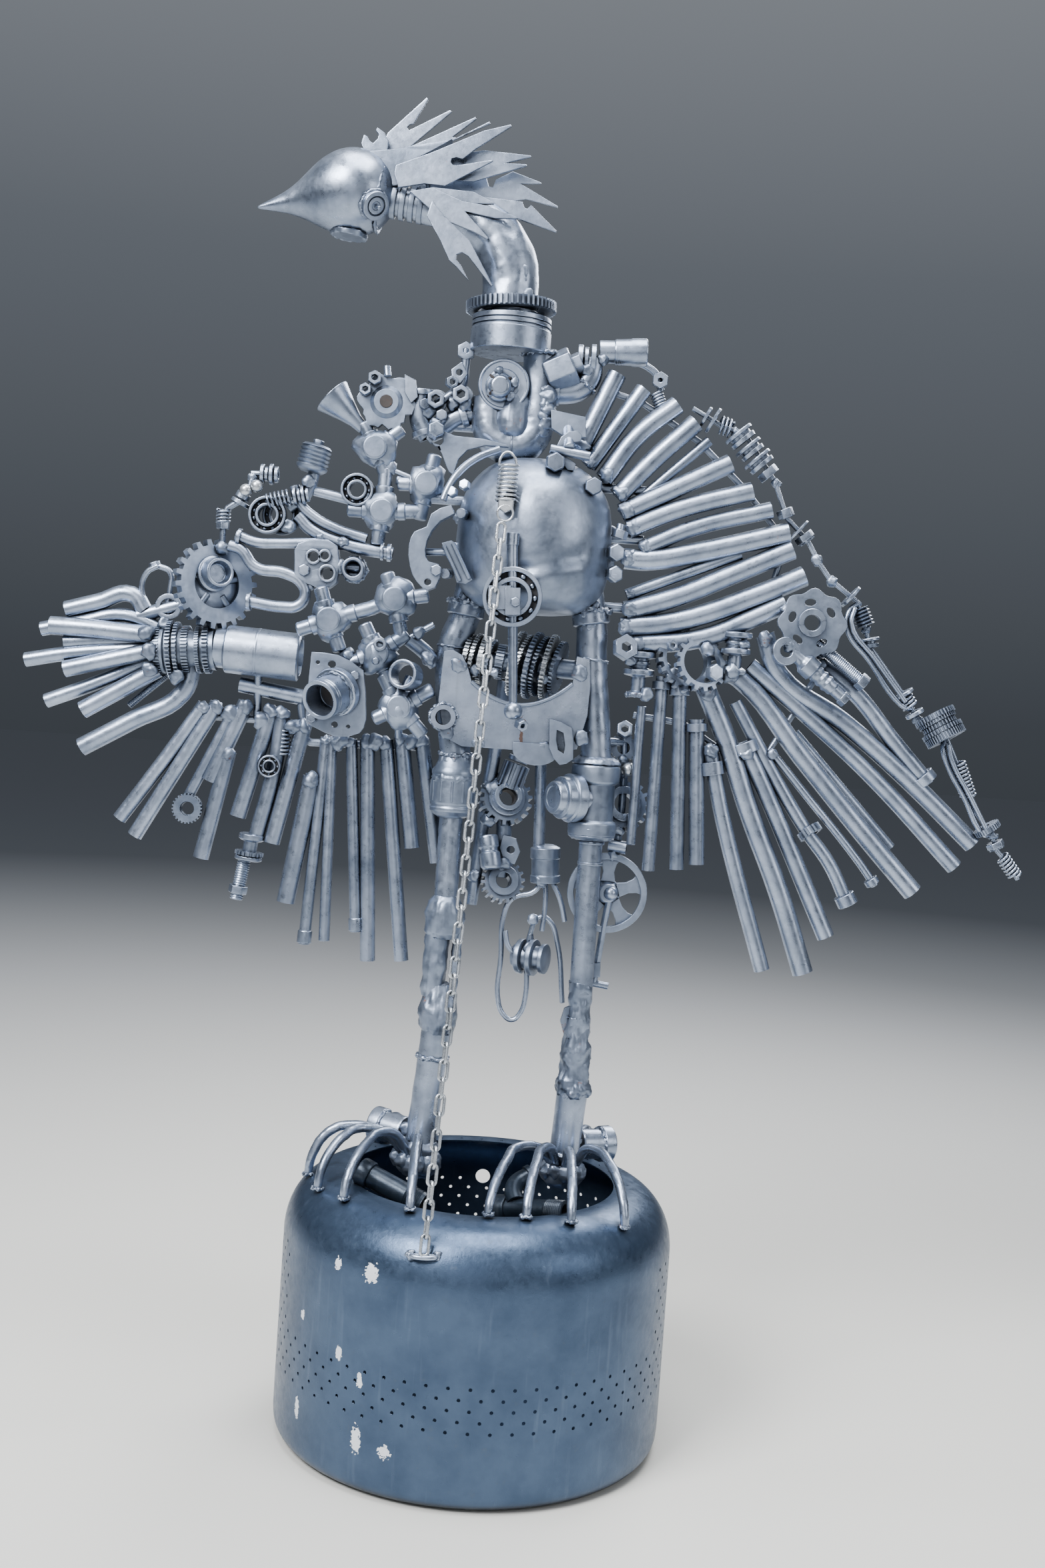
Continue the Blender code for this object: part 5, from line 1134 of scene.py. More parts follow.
def makeRightLeg():
    shin = turned([(0, 21), (2, 22.3), (12, 22.3), (14, 19), (16, 18.6), (60, 18.8), (90, 19.4)],
                  (100, 0, 343), (0.06, 0, 1), 32)
    knee = turned([(0, 19), (4, 21.5), (10, 22), (16, 20.4), (24, 18.6), (38, 18.4), (52, 19.4), (64, 18),
                   (80, 16), (98, 15)], (106, 0, 428), up, 32, "weld")
    lumpy(knee, 13, 4.2)
    jagged = [(86, 528), (84, 520), (88, 508), (92, 498), (101, 500), (112, 496), (117, 520), (114, 540),
              (118, 560), (112, 574), (104, 568), (98, 574), (92, 552), (95, 540), (88, 536)]
    blade = plate([jagged], 0, 8, "weld")
    core = turned([(0, 15), (20, 15.4), (40, 14), (56, 15), (70, 14.5)], (106, 0, 500), up, 22, "cast")
    lumpy(core, 14, 4.0)
    pipe = route([(107, 0, 556), (106.5, 0, 660), (106, 0, 762)], 29, sides=26)
    bands = [ring((107, 0, z), up, 16, 12, 4, 26) for z in (742, 716)]
    tee = turned([(0, 26), (2, 29.6), (15, 30), (18, 28.5), (20, 25), (64, 25), (66, 28.5), (69, 30),
                  (85, 30), (88, 28)],
                 (106, 0, 752), up, 40, "cast")
    weld = turned([(0, 24), (4, 30), (9, 27), (12, 21)], (106, 0, 838), up, 32, "weld")
    lumpy(weld, 7, 1.8)
    hem = turned([(0, 24), (4, 29), (10, 27), (14, 30)], (106, 0, 748), up, 32, "weld")
    lumpy(hem, 7, 1.5)
    way = Vector((-1, -0.62, 0)).normalized()
    branch = turned([(0, 20), (24, 20), (24, 26), (26, 29.6), (37, 30), (39, 28.6), (40, 26), (49, 26),
                     (51, 24.6), (52, 20.4),
                     (59, 20), (61, 18.6), (61, 14), (60, 13), (60, 0.5)], (106, 0, 798), way, 44, "silver",
                    0.4)
    weldUp("rightLeg", [shin, knee, blade, core, pipe, tee, weld, hem, branch] + bands, "right_leg",
           smooth=50)


makeLeftLeg()
makeRightLeg()

# feet. Each claw: where its tip lands (mm inside the drum's side, degrees), then its highest bend
feet = {
    "left": (-80, ((25.2, 184.8), (28.6, 203.4), (35.4, 219.4), (53, 245.4), (64.4, 137.8)),
             ((-172, -10, 372), (-156, -30, 374), (-128, -50, 376), (-80, -60, 372), (-110, 50, 370))),
    "right": (100, ((67.6, 274), (61, 288.2), (42, 303), (22, 322.1), (51.6, 42)),
              ((40, -60, 372), (70, -70, 374), (106, -70, 370), (142, -50, 372), (124, 50, 370))),
}


def makeFoot(side):
    heel, tips, bends = feet[side]
    pieces = []
    hub = turned([(0, 18), (6, 25), (12, 29), (22, 29), (27, 26), (30, 22)], (heel, 0, 314.7), up, 32, "weld")
    lumpy(hub, 9, 2.0)
    pieces.append(hub)
    for (inset, bearing), bend in zip(tips, bends):
        radius, angle = drum["radius"] - inset, math.radians(bearing)
        tip = Vector((radius * math.cos(angle), radius * math.sin(angle), drumShoulder(radius) + 2))
        top, out = Vector(bend), (Vector(bend) - Vector((heel, 0, 372))).normalized()
        start = Vector((heel, 0, 336)) + out * 14
        drop, fall = tip - top, top.z - tip.z
        arc = [start, start + out * 14 + Vector((0, 0, 17)), (start + top) / 2 + Vector((0, 0, 15)),
               top + Vector((0, 0, 1))]
        arc += [Vector((top.x + drop.x * share, top.y + drop.y * share,
                        tip.z + fall * math.sqrt(1 - share**2)))
                for share in (0.35, 0.65, 0.86, 0.97)]
        claw = route(arc + [tip], 11.5, sides=18, widths=[1.05] + [1] * 6 + [0.95, 0.85])
        lumpy(claw, 9, 0.5)
        pieces += [claw, blob(start + out * 12, 20), bead(tip + Vector((0, 0, 2)), up, 5.5, 4)]
    weldUp(side + "Claws", pieces, side + "_foot", smooth=50)


def makeFootPipe(side, start, end, radius):
    start, end = Vector(start), Vector(end)
    way = (end - start).normalized()
    length = (end - start).length
    body = route([start + way * 8, end], radius * 2 - 2, radius * 2 - 9, 28, finish="dark")
    thread = threadedBar(end - way * 24, end - way * 1, radius * 2, 2.3, "dark", 28, radius * 2 - 8)
    socket = turned([(0, radius - 4), (0, radius + 1), (2, radius + 2), (14, radius + 2), (16, radius + 1),
                     (16, radius - 2), (3, radius - 4.5)], start, way, 28, "dark")
    # a dark disc partway down the bore: painted shade inside the pipe
    boreShadeDisc = turned([(0, radius - 3), (3, radius - 3)], start + way * length * 0.4, way, 20, "scale")
    pieces = [body, thread, socket, boreShadeDisc]
    if side == "right":
        pieces.append(route([(44, -100, 318), (40, -88, 326), (44, -74, 334), (56, -66, 340)], 22, 15, 24,
                            finish="dark"))
        pieces.append(ring((56, -66, 340), (0.8, 0.4, 0.4), 13, 8, 7, 24, "dark"))
    weldUp(side + "FootPipe", pieces, side + "_foot_pipe", slot="dark_pipe")


def makeHeelSocket(side, x, way):
    piece = turned([(0, 18), (3, 19), (28, 19), (31, 22.5), (43, 23), (45, 22), (45, 17), (42, 15.5),
                    (16, 15), (15, 12), (8, 11)], (x, 20, 362), way, 36, "silver", 0.4)
    rim = bead(Vector((x, 20, 362)) + Vector(way).normalized() * 30, way, 19.5, 4)
    dabs = [blob((x * 0.97, 2, 362 + z), 17, flat=0.8) for z in (-8, 8)]
    weldUp(side + "HeelSocket", [piece, rim] + dabs, side + "_heel_socket")


for side in feet:
    makeFoot(side)
makeFootPipe("left", (-146, -66, 334), (-66, -96, 306), 15)
makeFootPipe("right", (22, -86, 306), (102, -132, 320), 14)
makeHeelSocket("left", -100, (-1, 0.5, 0.06))
makeHeelSocket("right", 118, (1, 0.5, -0.06))
print("legs and feet built")

# left wing
def jointCross(centre, arms, cups):
    # the spider of a propeller shaft's joint: four stepped journals out of one forged middle
    middle = Vector(centre)
    pieces = [blob(middle, 48, "cast", 0.66), turned([(0, 13), (2, 15), (6, 15), (8, 12)],
                                                     middle + Vector((0, -10, 0)), front, 24, "cast")]
    for index, arm in enumerate(arms):
        way = Vector(arm) - middle
        length = way.length + 4
        shoulder = length * 0.56
        collar, journal = (12.2, 9) if index in cups else (10.8, 9)
        profile = [(0, 14), (shoulder * 0.4, 11), (shoulder * 0.66, collar - 1), (shoulder * 0.72, collar),
                   (shoulder, collar),
                   (shoulder + 1, journal), (length - 3, journal), (length - 1, journal - 1.2),
                   (length, journal - 3.5)]
        pieces.append(turned(profile, middle, way, 24, "silver" if index in cups else "cast", 0.3))
    return pieces


leftCrosses = (
    # centre, ends of the four journals, which of them carry a cup
    ((-231, -20, 994), ((-243, -20, 1029), (-179, -20, 1012), (-217, -20, 960), (-266, -20, 980)), (0, 3)),
    ((-153, -20, 1024), ((-164, -20, 1052), (-116, -20, 1031), (-142, -20, 980), (-182, -20, 1011)), (1, 2)),
    ((-170, -20, 957), ((-187, -20, 989), (-138, -20, 982), (-204, -20, 943), (-154, -20, 925)), (0, 2)),
    ((-139, -20, 894), ((-160, -20, 930), (-103, -20, 917), (-110, -20, 864), (-167, -20, 879)), (3,)),
)
shoulderCrosses = (
    ((-190, 0, 1206), ((-206, 0, 1233), (-162, 0, 1230), (-176, 0, 1176)), (0, 1)),
    ((-177, 0, 1130), ((-176, 0, 1180), (-216, 0, 1130), (-132, 0, 1134), (-181, 0, 1093)), (0, 3)),
    ((-125, 0, 1167), ((-118, 0, 1200), (-157, 0, 1166), (-131, 0, 1127)), (1,)),
)


def makeCrosses():
    pieces = []
    for centre, arms, cups in leftCrosses:
        pieces += jointCross(centre, arms, cups)
    pieces.append(route([(-134, -14, 978), (-112, -6, 962), (-100, 0, 950)], 19, sides=20, finish="cast"))
    pieces.append(route([(-134, -18, 978), (-104, -18, 997)], 8, sides=12))
    pieces.append(ring((-166, -36, 968), front, 8, 4, 6))
    pieces += [ring((-129, -24, 932), (-0.3, -1, 0.1), 18, 14, 26, 36),
               route([(-129, -14, 932), (-139, -18, 905)], 12, sides=14)]
    pieces.append(turned([(0, 5), (5, 5), (7, 3)], (-170, -34, 948), front, 16))
    for x, z, size in ((-206, 952, 20), (-146, 902, 18), (-122, 986, 16), (-172, 1014, 15), (-160, 930, 15),
                       (-108, 955, 17)):
        pieces.append(blob((x, -22, z), size))
    weldUp("lowerJointCrosses", pieces, "left_crosses", smooth=50)
    pieces = []
    for centre, arms, cups in shoulderCrosses:
        pieces += jointCross(centre, arms, cups)
    pieces += bearing((-209, 6, 1154), front, 20, 9, 16, 10)
    pieces.append(route([(-125, 0, 1150), (-60, 0, 1150)], 12, sides=16))
    pieces.append(route([(-164, -4, 1180), (-122, -6, 1166)], 6, sides=10))
    for x, z, size in ((-172, 1184, 18), (-140, 1132, 17), (-158, 1168, 14), (-196, 1144, 14)):
        pieces.append(blob((x, -2, z), size))
    weldUp("shoulderJointCrosses", pieces, "left_shoulder_crosses", smooth=50)


fingers = (
    # diameter, then points from the open end to the wrist
    (21, (-559, 10, 985), (-520, 10, 997), (-479, 10, 1009), (-462, 10, 990)),
    (18, (-588, 10, 959), (-540, 10, 971), (-486, 10, 983), (-440, 10, 968)),
    (23, (-575, 2, 964), (-531, 2, 964), (-440, 2, 960)),
    (23, (-559, 14, 945), (-494, 14, 952), (-440, 14, 952)),
    (18, (-605, 8, 920), (-549, 8, 932), (-440, 8, 946)),
    (21, (-554, 0, 912), (-440, 0, 944)),
    (18, (-578, 12, 871), (-520, 12, 896), (-440, 12, 936)),
    (22, (-530, 2, 863), (-440, 4, 920)),
    (10, (-476, 14, 872), (-422, 14, 922)),
    (23, (-531, 10, 817), (-470, 10, 854), (-410, 10, 892), (-398, 10, 934)),
)
feathers = (
    (18, (-481, 20, 731), (-450, 20, 777), (-419, 20, 824), (-384, 20, 880)),
    (19, (-461, 20, 711), (-368, 20, 882)),
    (14, (-399, 20, 760), (-350, 20, 868)),
    (21, (-372, 20, 786), (-332, 20, 886)),
    (20, (-377, 20, 689), (-350, 20, 824)),
    (21, (-334, 20, 744), (-299, 20, 882)),
    (20, (-310, 20, 720), (-292, 20, 810), (-286, 20, 880)),
    (21, (-290, 20, 714), (-258, 20, 866)),
    (23, (-268, 20, 641), (-256, 20, 722), (-245, 20, 800)),
    (15, (-242, 20, 590), (-230, 20, 850)),
    (14, (-217, 20, 596), (-223, 20, 850)),
    (15, (-178, 20, 610), (-199, 20, 850)),
    (19, (-161, 20, 575), (-179, 20, 852)),
    (18, (-119, 20, 578), (-156, 20, 852)),
    (20, (-115, 20, 720), (-137, 20, 858)),
    (19, (-82, 20, 704), (-112, 20, 858)),
)


def makeHand():
    pieces = []
    for across, *points in fingers:
        if across > 10:
            pieces.append(route(points, across, across - 4.5, 20))
        else:
            pieces.append(threadedBar(points[0], points[1], across, 2.2))
    base, way = Vector((-447, 8, 942)), Vector((1, 0, 0.09)).normalized()
    pieces.append(turned([(0, 29), (14, 29), (16, 27), (44, 25), (50, 22), (76, 26)], base, way, 40, "cast"))
    rings = (
        # along, tip, root, thickness, teeth
        (7, 30.5, 28.5, 7, 44), (22, 37, 34, 6, 46), (30, 35, 32.5, 5, 40), (41, 30, 28, 8, 42),
             (56, 29.5, 28, 5, 52),
        (66, 30, 27, 7, 36),
    )
    for along, tip, root, thickness, teeth in rings:
        pieces.append(gearWheel(base + way * along, way, tip, root, 18, thickness, teeth, "cast"))
    pieces.append(ring((-432, 5, 997), front, 16, 10, 3.4, 32))
    stub = route([(-470, 10, 983), (-419, 10, 1000)], 18, 13, 22)
    bow = [(-448, 4, 1046), (-462, 6, 1036), (-466, 8, 1010), (-455, 8, 990)]
    pieces += [stub, route(bow, 7, sides=12), route([(-440, 8, 980), (-432, 8, 1018), (-434, 8, 1040),
                                                     (-448, 8, 1046)], 7,
                                                   sides=12)]
    pieces.append(nut((-451, 10, 1042), (-0.4, 0, 1), 15, 9))
    for x, y, z, size in ((-452, -20, 962, 20), (-448, -22, 940, 22), (-446, -18, 918, 18),
                          (-436, 0, 976, 16), (-414, -10, 912, 18)):
        pieces.append(blob((x, y, z), size))
    weldUp("leftHand", pieces, "left_hand", smooth=50)


def makeSleeve():
    r = 29.5
    sleeve = turned([(0, r - 9), (0, r - 5), (12, r - 5), (13.5, r - 1), (15, r), (50, r), (51, r + 0.5),
                     (53, r + 0.5), (54, r),
                     (103, r), (105, r - 2.4), (105, r - 7), (92, r - 8), (92, 6)], (-371, 6, 951),
                    (1, 0, -0.05), 48, "silver", 0.4)
    lumpy(sleeve, 30, 0.6)
    weldUp("forearmSleeve", [sleeve], "left_sleeve", smooth=40)


def makeFeathers():
    pieces = []
    for index, (across, *points) in enumerate(feathers):
        if index in (9, 10, 11):
            pieces.append(route(points, across, sides=16))
            if index != 10:
                bottom, way = Vector(points[0]), (Vector(points[1]) - Vector(points[0])).normalized()
                pieces.append(turned([(0, across / 2 - 2), (2, across / 2 + 1.6), (16, across / 2 + 1.6),
                                      (18, across / 2)], bottom, way, 20))
        else:
            pieces.append(route(points, across, across - 4.5, 20))
        top = Vector(points[-1])
        pieces.append(blob(top + Vector((0, -across * 0.35, -4)), across * 0.9))
    pieces.append(route([(x, 26, z) for x, z in ((-396, 866), (-290, 866), (-250, 842), (-104, 846))], 10,
                        sides=12, bent=False))
    pieces += [route([(-318, 24, 866), (-318, 8, 940)], 10, sides=12),
               route([(-140, 24, 842), (-140, -10, 880)], 10, sides=12)]
    # gearbox oddments between the feathers
    pieces += [ring((-396, 14, 750), back, 18, 8, 8, 32, "cast"),
               gearWheel((-396, 12, 750), front, 19, 17, 9, 5, 26)]
    drop = (-318, 20, 690)
    pieces.append(turned([(0, 14), (1, 17), (5, 17), (6, 14), (8, 9), (24, 9), (25, 13), (27, 16), (33, 16),
                          (34, 12)],
                         drop, (0.1, 0, 1), 32))
    pieces.append(gearWheel((-317, 20, 699), (0.1, 0, 1), 18, 15.5, 8, 5, 18, "cast"))
    pieces.append(threadedBar((-330, 20, 640), (-322, 20, 692), 17, 3.0, "cast", 20))
    pieces.append(nut((-329, 20, 648), (0.15, 0, 1), 24, 10))
    pieces += bearing((-296, 8, 810), front, 14, 6, 10, 8)
    pieces.append(coil((-283, 20, 824), up, 8, 3, 7, 34))
    pieces.append(route([(-341, 20, 908), (-326, 20, 906), (-300, 20, 902), (-262, 20, 897)], 20, 15, 20))
    pieces.append(route([(-266, 20, 898), (-258, 20, 850)], 10, sides=12))
    for x, z in ((-350, 872), (-310, 866), (-272, 860), (-212, 846), (-168, 848), (-124, 852)):
        pieces.append(blob((x, 14, z), 22))
    weldUp("leftFeathers", pieces, "left_feathers", smooth=50)


wingRootView = (380, 860, 3.92)


def makeCollarPlate():
    flange = plateSeen(wingRootView, ((345, 462), (420, 466), (500, 480), (580, 520), (650, 570),
                                      (662, 700), (665, 860),
                                      (650, 910), (625, 940), (560, 960), (480, 958), (430, 940),
                                      (360, 905), (310, 880), (316, 760), (330, 600)), -32, 8,
                       ((383, 523, 11), (560, 900, 11), (465, 535, 22), (480, 888, 18)), "cast")
    way = Vector((-0.42, -0.85, -0.3)).normalized()
    foot = Vector((-214, -36, 908))
    mouth = turned([(-4, 29), (5, 30), (7, 29), (8, 25), (12, 24), (26, 23.4), (28, 24.4), (30, 23.4),
                    (32, 24.4), (34, 23.4),
                    (36, 24.4), (40, 24), (40, 19.6), (38, 18.6), (10, 18), (10, 2)], foot, way, 48,
                   "silver", 0.3)
    seam = bead(foot + way * 8, way, 25, 4)
    # a dark disc on the cup's floor: painted shade at the bottom of the cup
    dark = turned([(11, 16), (12, 16)], foot, way, 24, "scale")
    bolts = [nut(seen(wingRootView, x, y, -40), front, 12, 6, 0) for x, y in ((600, 600), (345, 850))]
    weldUp("collarPlate", [flange, mouth, seam, dark] + bolts, "collar_plate")


def makeLeftGear():
    way = Vector((0.75, -1, 0.1)).normalized()
    wheel = gearWheel((-377, 4, 1028), way, 55, 48, 30, 13, 22, "cast")
    web = turned([(0, 31), (4, 31), (5, 24), (6, 20)], Vector((-377, 4, 1028)) - way * 4, way, 36, "cast")
    spokes = []
    turn = way.to_track_quat("Z", "Y").to_matrix()
    for i in range(5):
        angle = 2 * math.pi * i / 5 + 0.3
        out = turn @ Vector((math.cos(angle), math.sin(angle), 0))
        spokes.append(route([Vector((-377, 4, 1028)) + out * 16, Vector((-377, 4, 1028)) + out * 38], 9,
                            sides=12, finish="cast"))
    cup = turned([(0, 21), (3, 22), (8, 22), (9, 19), (22, 18), (24, 17.4), (24, 14), (14, 12.6), (12, 11),
                  (12, 0.5)],
                 (-380, 0, 1040), (0.7, -1, 0.1), 36)
    edge = route([(-370, 4, 1066), (-371, 2, 1110), (-366, 2, 1122), (-348, 0, 1134), (-340, 0, 1146),
                  (-338, 0, 1166), (-318, 0, 1166)], 8, sides=14, bent=False)
    pieces = [wheel, web, cup, edge] + spokes
    pieces += [nut((-371, 2, 1096), up, 18, 9), coil((-371, 2, 1104), up, 8, 3.2, 4, 16),
               ring((-352, 0, 1127), (0.5, 0, 1), 12, 5, 5), ring((-350, 0, 1134), (0.5, 0, 1), 9, 4, 8)]
    for x, outer in ((-328, 12), (-323, 9), (-317, 13), (-311, 10)):
        pieces.append(ring((x, 0, 1166), right, outer, 5, 4.5))
    for x, z in ((-331, 1150), (-344, 1144)):
        pieces.append(ball((x, -6, z), 8, "zinc"))
    pieces += [blob((-370, 0, 1072), 16), blob((-338, 0, 1160), 13)]
    weldUp("wristGear", pieces, "left_gear")


def makeLeftPipes():
    runs = (
        # diameter, bore, points
        (13, 8, ((-286, 0, 1154), (-280, 0, 1136), (-263, 0, 1120), (-230, 0, 1105), (-194, 0, 1096))),
        (16, 10, ((-280, 0, 1118), (-262, 0, 1102), (-219, 0, 1087), (-161, 0, 1080))),
        (13, 8, ((-352, -8, 1089), (-327, -8, 1082), (-300, -6, 1083), (-250, -4, 1087))),
        (14, 9, ((-360, -8, 1076), (-346, -8, 1072), (-327, -8, 1052), (-290, -6, 1047), (-270, -6, 1037),
                 (-264, -6, 1022), (-272, -6, 1009), (-290, -6, 1006), (-334, -6, 1010))),
    )
    pieces = [route(points, across, bore, 20) for across, bore, points in runs]
    pieces += [ring((-168, 0, 1081), right, 11, 7, 5), ring((-176, 0, 1082), right, 11, 7, 4),
               ring((-330, -6, 1010), left, 11, 6, 5), ring((-346, -8, 1087), (-1, 0, 0.2), 10, 6, 5)]
    casting = plate([[(-280, 1076), (-276, 1084), (-262, 1090), (-240, 1091), (-228, 1084), (-224, 1064),
                      (-226, 1040),
                      (-236, 1032), (-250, 1032), (-266, 1037), (-278, 1044)], roundHole(-256, 1069, 7),
                     roundHole(-242, 1071, 5.5), roundHole(-238, 1050, 8)], -2, 20, "cast", 1.2)
    lumpy(casting, 14, 0.8)
    pieces.append(casting)
    for x, z, r in ((-256, 1069, 9.5), (-242, 1071, 8), (-238, 1050, 11)):
        pieces.append(ring((x, -13, z), front, r, r - 3, 4, 24))
    pieces.append(nut((-266, -12, 1052), front, 15, 7, 0))
    port = turned([(0, 16), (4, 16), (5, 14), (24, 14), (26, 13), (26, 10), (22, 9), (8, 8.6), (8, 1)],
                  (-207, 8, 1058), front, 36)
    pieces += [port, route([(-236, 0, 1060), (-200, 0, 1060)], 14, sides=18),
               bead((-207, 5, 1058), front, 15, 4)]
    pieces += bearing((-316, 4, 1116), front, 23, 11, 16, 11) + bearing((-300, 12, 1118), front, 24, 13, 10,
                                                                        10, "cast")
    cylinder = turned([(0, 13), (3, 17), (5, 19)] + [(7 + 5 * i + j, (19.4, 19.4, 17.4, 17.4)[j])
                                                     for i in range(5) for j in range(4)]
                      + [(31, 19), (34, 16), (35, 9)], (-268, 2, 1172), (0.2, 0, 1), 36, "cast", 0)
    pieces += [cylinder, nut((-261, 2, 1206), (0.2, 0, 1), 14, 6, 0)]
    pieces.append(route([(-292, 2, 1126), (-276, 2, 1140), (-268, 2, 1152), (-262, 2, 1180)], 15, sides=20,
                        finish="cast"))
    pieces.append(route([(-262, 4, 1150), (-206, 4, 1140)], 12, sides=16))
    spring = coil((-318, -6, 1132), (0.9, 0, 0.25), 9, 3, 6, 30)
    washers = [ring((-286 + 5 * i, -4, 1141 + i), (0.9, 0, 0.2), 12 - (i % 2) * 3, 5, 4) for i in range(4)]
    pieces += [spring] + washers
    for x, z, size in ((-226, 1060, 18), (-262, 1034, 15), (-290, 1104, 16), (-268, 1160, 16),
                       (-222, 1090, 14), (-250, 1092, 13)):
        pieces.append(blob((x, -6, z), size))
    weldUp("wingPipes", pieces, "left_pipes", smooth=50)




def makeBrakeArm():
    shoe = plateSeen(shoulderZoom, ((1130, 1088), (1110, 1040), (1050, 1058), (1000, 1090), (985, 1130),
                                    (975, 1160), (905, 1190),
                                    (885, 1225), (875, 1260), (872, 1320), (880, 1380), (895, 1430),
                                    (920, 1470), (948, 1500),
                                    (980, 1515), (1020, 1500), (1045, 1450), (1055, 1400), (1040, 1370),
                                    (985, 1355), (968, 1330),
                                    (965, 1290), (975, 1240), (1005, 1180), (1050, 1130)), -72, 20,
                     ((980, 1470, 18),), "cast")
    liner = route([seen(shoulderZoom, x, y, -78) for x, y in ((1120, 1060), (1040, 1110), (985, 1180),
                                                              (952, 1260), (958, 1340),
                                                             (985, 1385))], 7, sides=12, finish="silver")
    bolt = nut(seen(shoulderZoom, 1025, 1402, -82), front, 14, 9, 0)
    rods = [route([(-92, -70, 1056), (-90, -10, 1060)], 12, sides=16),
            route([(-78, -70, 1128), (-70, -20, 1130)], 12, sides=16)]
    bar = plateSeen(shoulderZoom, ((1056, 1250), (1110, 1236), (1134, 1250), (1160, 1330), (1210, 1420),
                                   (1228, 1458), (1190, 1480),
                                   (1140, 1470), (1120, 1400), (1080, 1310)), -64, 10, finish="cast")
    ribs = [route([seen(shoulderZoom, x, y, -72), seen(shoulderZoom, x + 92, y + 200, -72)], 5, sides=10,
                  finish="cast")
            for x, y in ((1066, 1262), (1118, 1250))]
    pin = route([seen(shoulderZoom, 960, 1300, -62), seen(shoulderZoom, 1090, 1300, -62)], 9, sides=14)
    weldUp("brakeShoe", [shoe, liner, bolt, bar, pin] + rods + ribs, "brake_arm")


def makeElbows():
    first = route([(-138, 6, 1278), (-139, 6, 1256), (-136, 6, 1240), (-126, 6, 1226)], 28, 20, 26)
    second = route([(-130, 6, 1228), (-112, 6, 1238), (-96, 6, 1250), (-76, 6, 1258)], 25, 17, 26)
    pieces = [first, second, ring((-138, 6, 1274), up, 17, 11, 7),
              ring((-90, 6, 1252), (1, 0, 0.4), 16, 10, 8), ring((-132, 6, 1233), (0.3, 0, -1), 17, 10, 7)]
    for x, z in ((-120, 1268), (-90, 1276)):
        pieces += [nut((x, -8, z), front, 23, 11), ring((x, 0, z), front, 14, 6, 3)]
    bar = route([(-120, -2, 1264), (-104, -2, 1276), (-90, -2, 1290), (-88, -2, 1310), (-88, -2, 1334)], 11,
                sides=16)
    cap = nut((-88, 6, 1330), front, 23, 14, 0.4)
    arm = route([(-100, 6, 1240), (-46, 6, 1240)], 12, sides=14)
    tab = plate([[(-104, 1306), (-92, 1316), (-84, 1302), (-92, 1290), (-102, 1292)],
                 roundHole(-94, 1303, 4)], -8, 4)
    small = [nut((-104, -10, 1290), (0.4, -1, 0), 16, 8), nut((-112, -8, 1250), front, 15, 8, 0),
             nut((-134, -10, 1262), (0.2, -1, 0), 14, 7, 0)]
    pieces += [bar, cap, arm, tab] + small
    for x, z, size in ((-116, 1240, 20), (-128, 1256, 17), (-100, 1266, 16), (-84, 1264, 17),
                       (-60, 1242, 16)):
        pieces.append(blob((x, -6, z), size))
    weldUp("shoulderElbows", pieces, "left_shoulder_elbows", smooth=50)


def makeLeftStator():
    petals = []
    for i in range(48):  # six lobes round the rim, an uneven one where it is torn
        angle = 2 * math.pi * i / 48
        reach = 33 + 3.6 * math.cos(6 * angle + 0.6) + (2.4 * math.cos(17 * angle) if angle > 3.6 else 0)
        petals.append((-180 + reach * math.cos(angle), 1262 + reach * 0.98 * math.sin(angle)))
    face = plate([petals, roundHole(-180, 1262, 8, squash=1.5)], -2, 10, "cast")
    boss = turned([(0, 21), (2, 20), (5, 16), (7, 15)], (-180, -5, 1262), front, 36, "cast")
    # a dark disc on the boss's face: painted shade standing for the depth of its hole
    hole = turned([(0, 8), (1, 8)], (-180, -12, 1262), front, 20, "scale")
    funnel = turned([(0, 7), (14, 9), (28, 13.5), (42, 19), (53, 23.5), (56, 24.6), (57, 23.8), (54, 21.5),
                     (42, 17), (28, 11), (16, 7), (16, 1)], (-206, 0, 1228), (-0.72, 0, 0.66), 40)
    nuts = [nut((-196, -10, 1288), (0.1, -1, 0.1), 18, 9), nut((-206, -9, 1274), (0, -1, 0.1), 16, 8)]
    lug = route([(-182, -10, 1304), (-180, -12, 1292)], 9, sides=14)
    flap = plate([[(-160, 1296), (-146, 1290), (-142, 1270), (-150, 1262), (-158, 1274)]], -10, 4)
    weldUp("statorFlower", [face, boss, hole, funnel, lug, flap] + nuts, "left_stator_plate")


makeCrosses()
makeHand()
makeSleeve()
makeFeathers()
makeCollarPlate()
makeLeftGear()
makeLeftPipes()
makeBrakeArm()
makeElbows()
makeLeftStator()
print("left wing built")

# right wing's hub, slotted plate and the string of small parts along its edge
def spoolShape(x, top, bottom):
    h = top - bottom
    profile = [(0, 13), (1, 14), (6, 14), (8, 9), (h * 0.45, 9), (h * 0.48, 17), (h * 0.5, 19), (h * 0.6, 19),
               (h * 0.62, 17), (h * 0.64, 12), (h * 0.7, 12), (h * 0.72, 13.4), (h * 0.78, 13.4),
               (h * 0.8, 12),
               (h * 0.84, 12), (h * 0.87, 19), (h * 0.89, 20), (h - 1, 20), (h, 19), (h, 11), (h - 6, 10),
               (h - 6, 1)]
    return [turned(profile, (x, 2, bottom), up, 36), bead((x, 2, bottom + 3), up, 13, 5)]


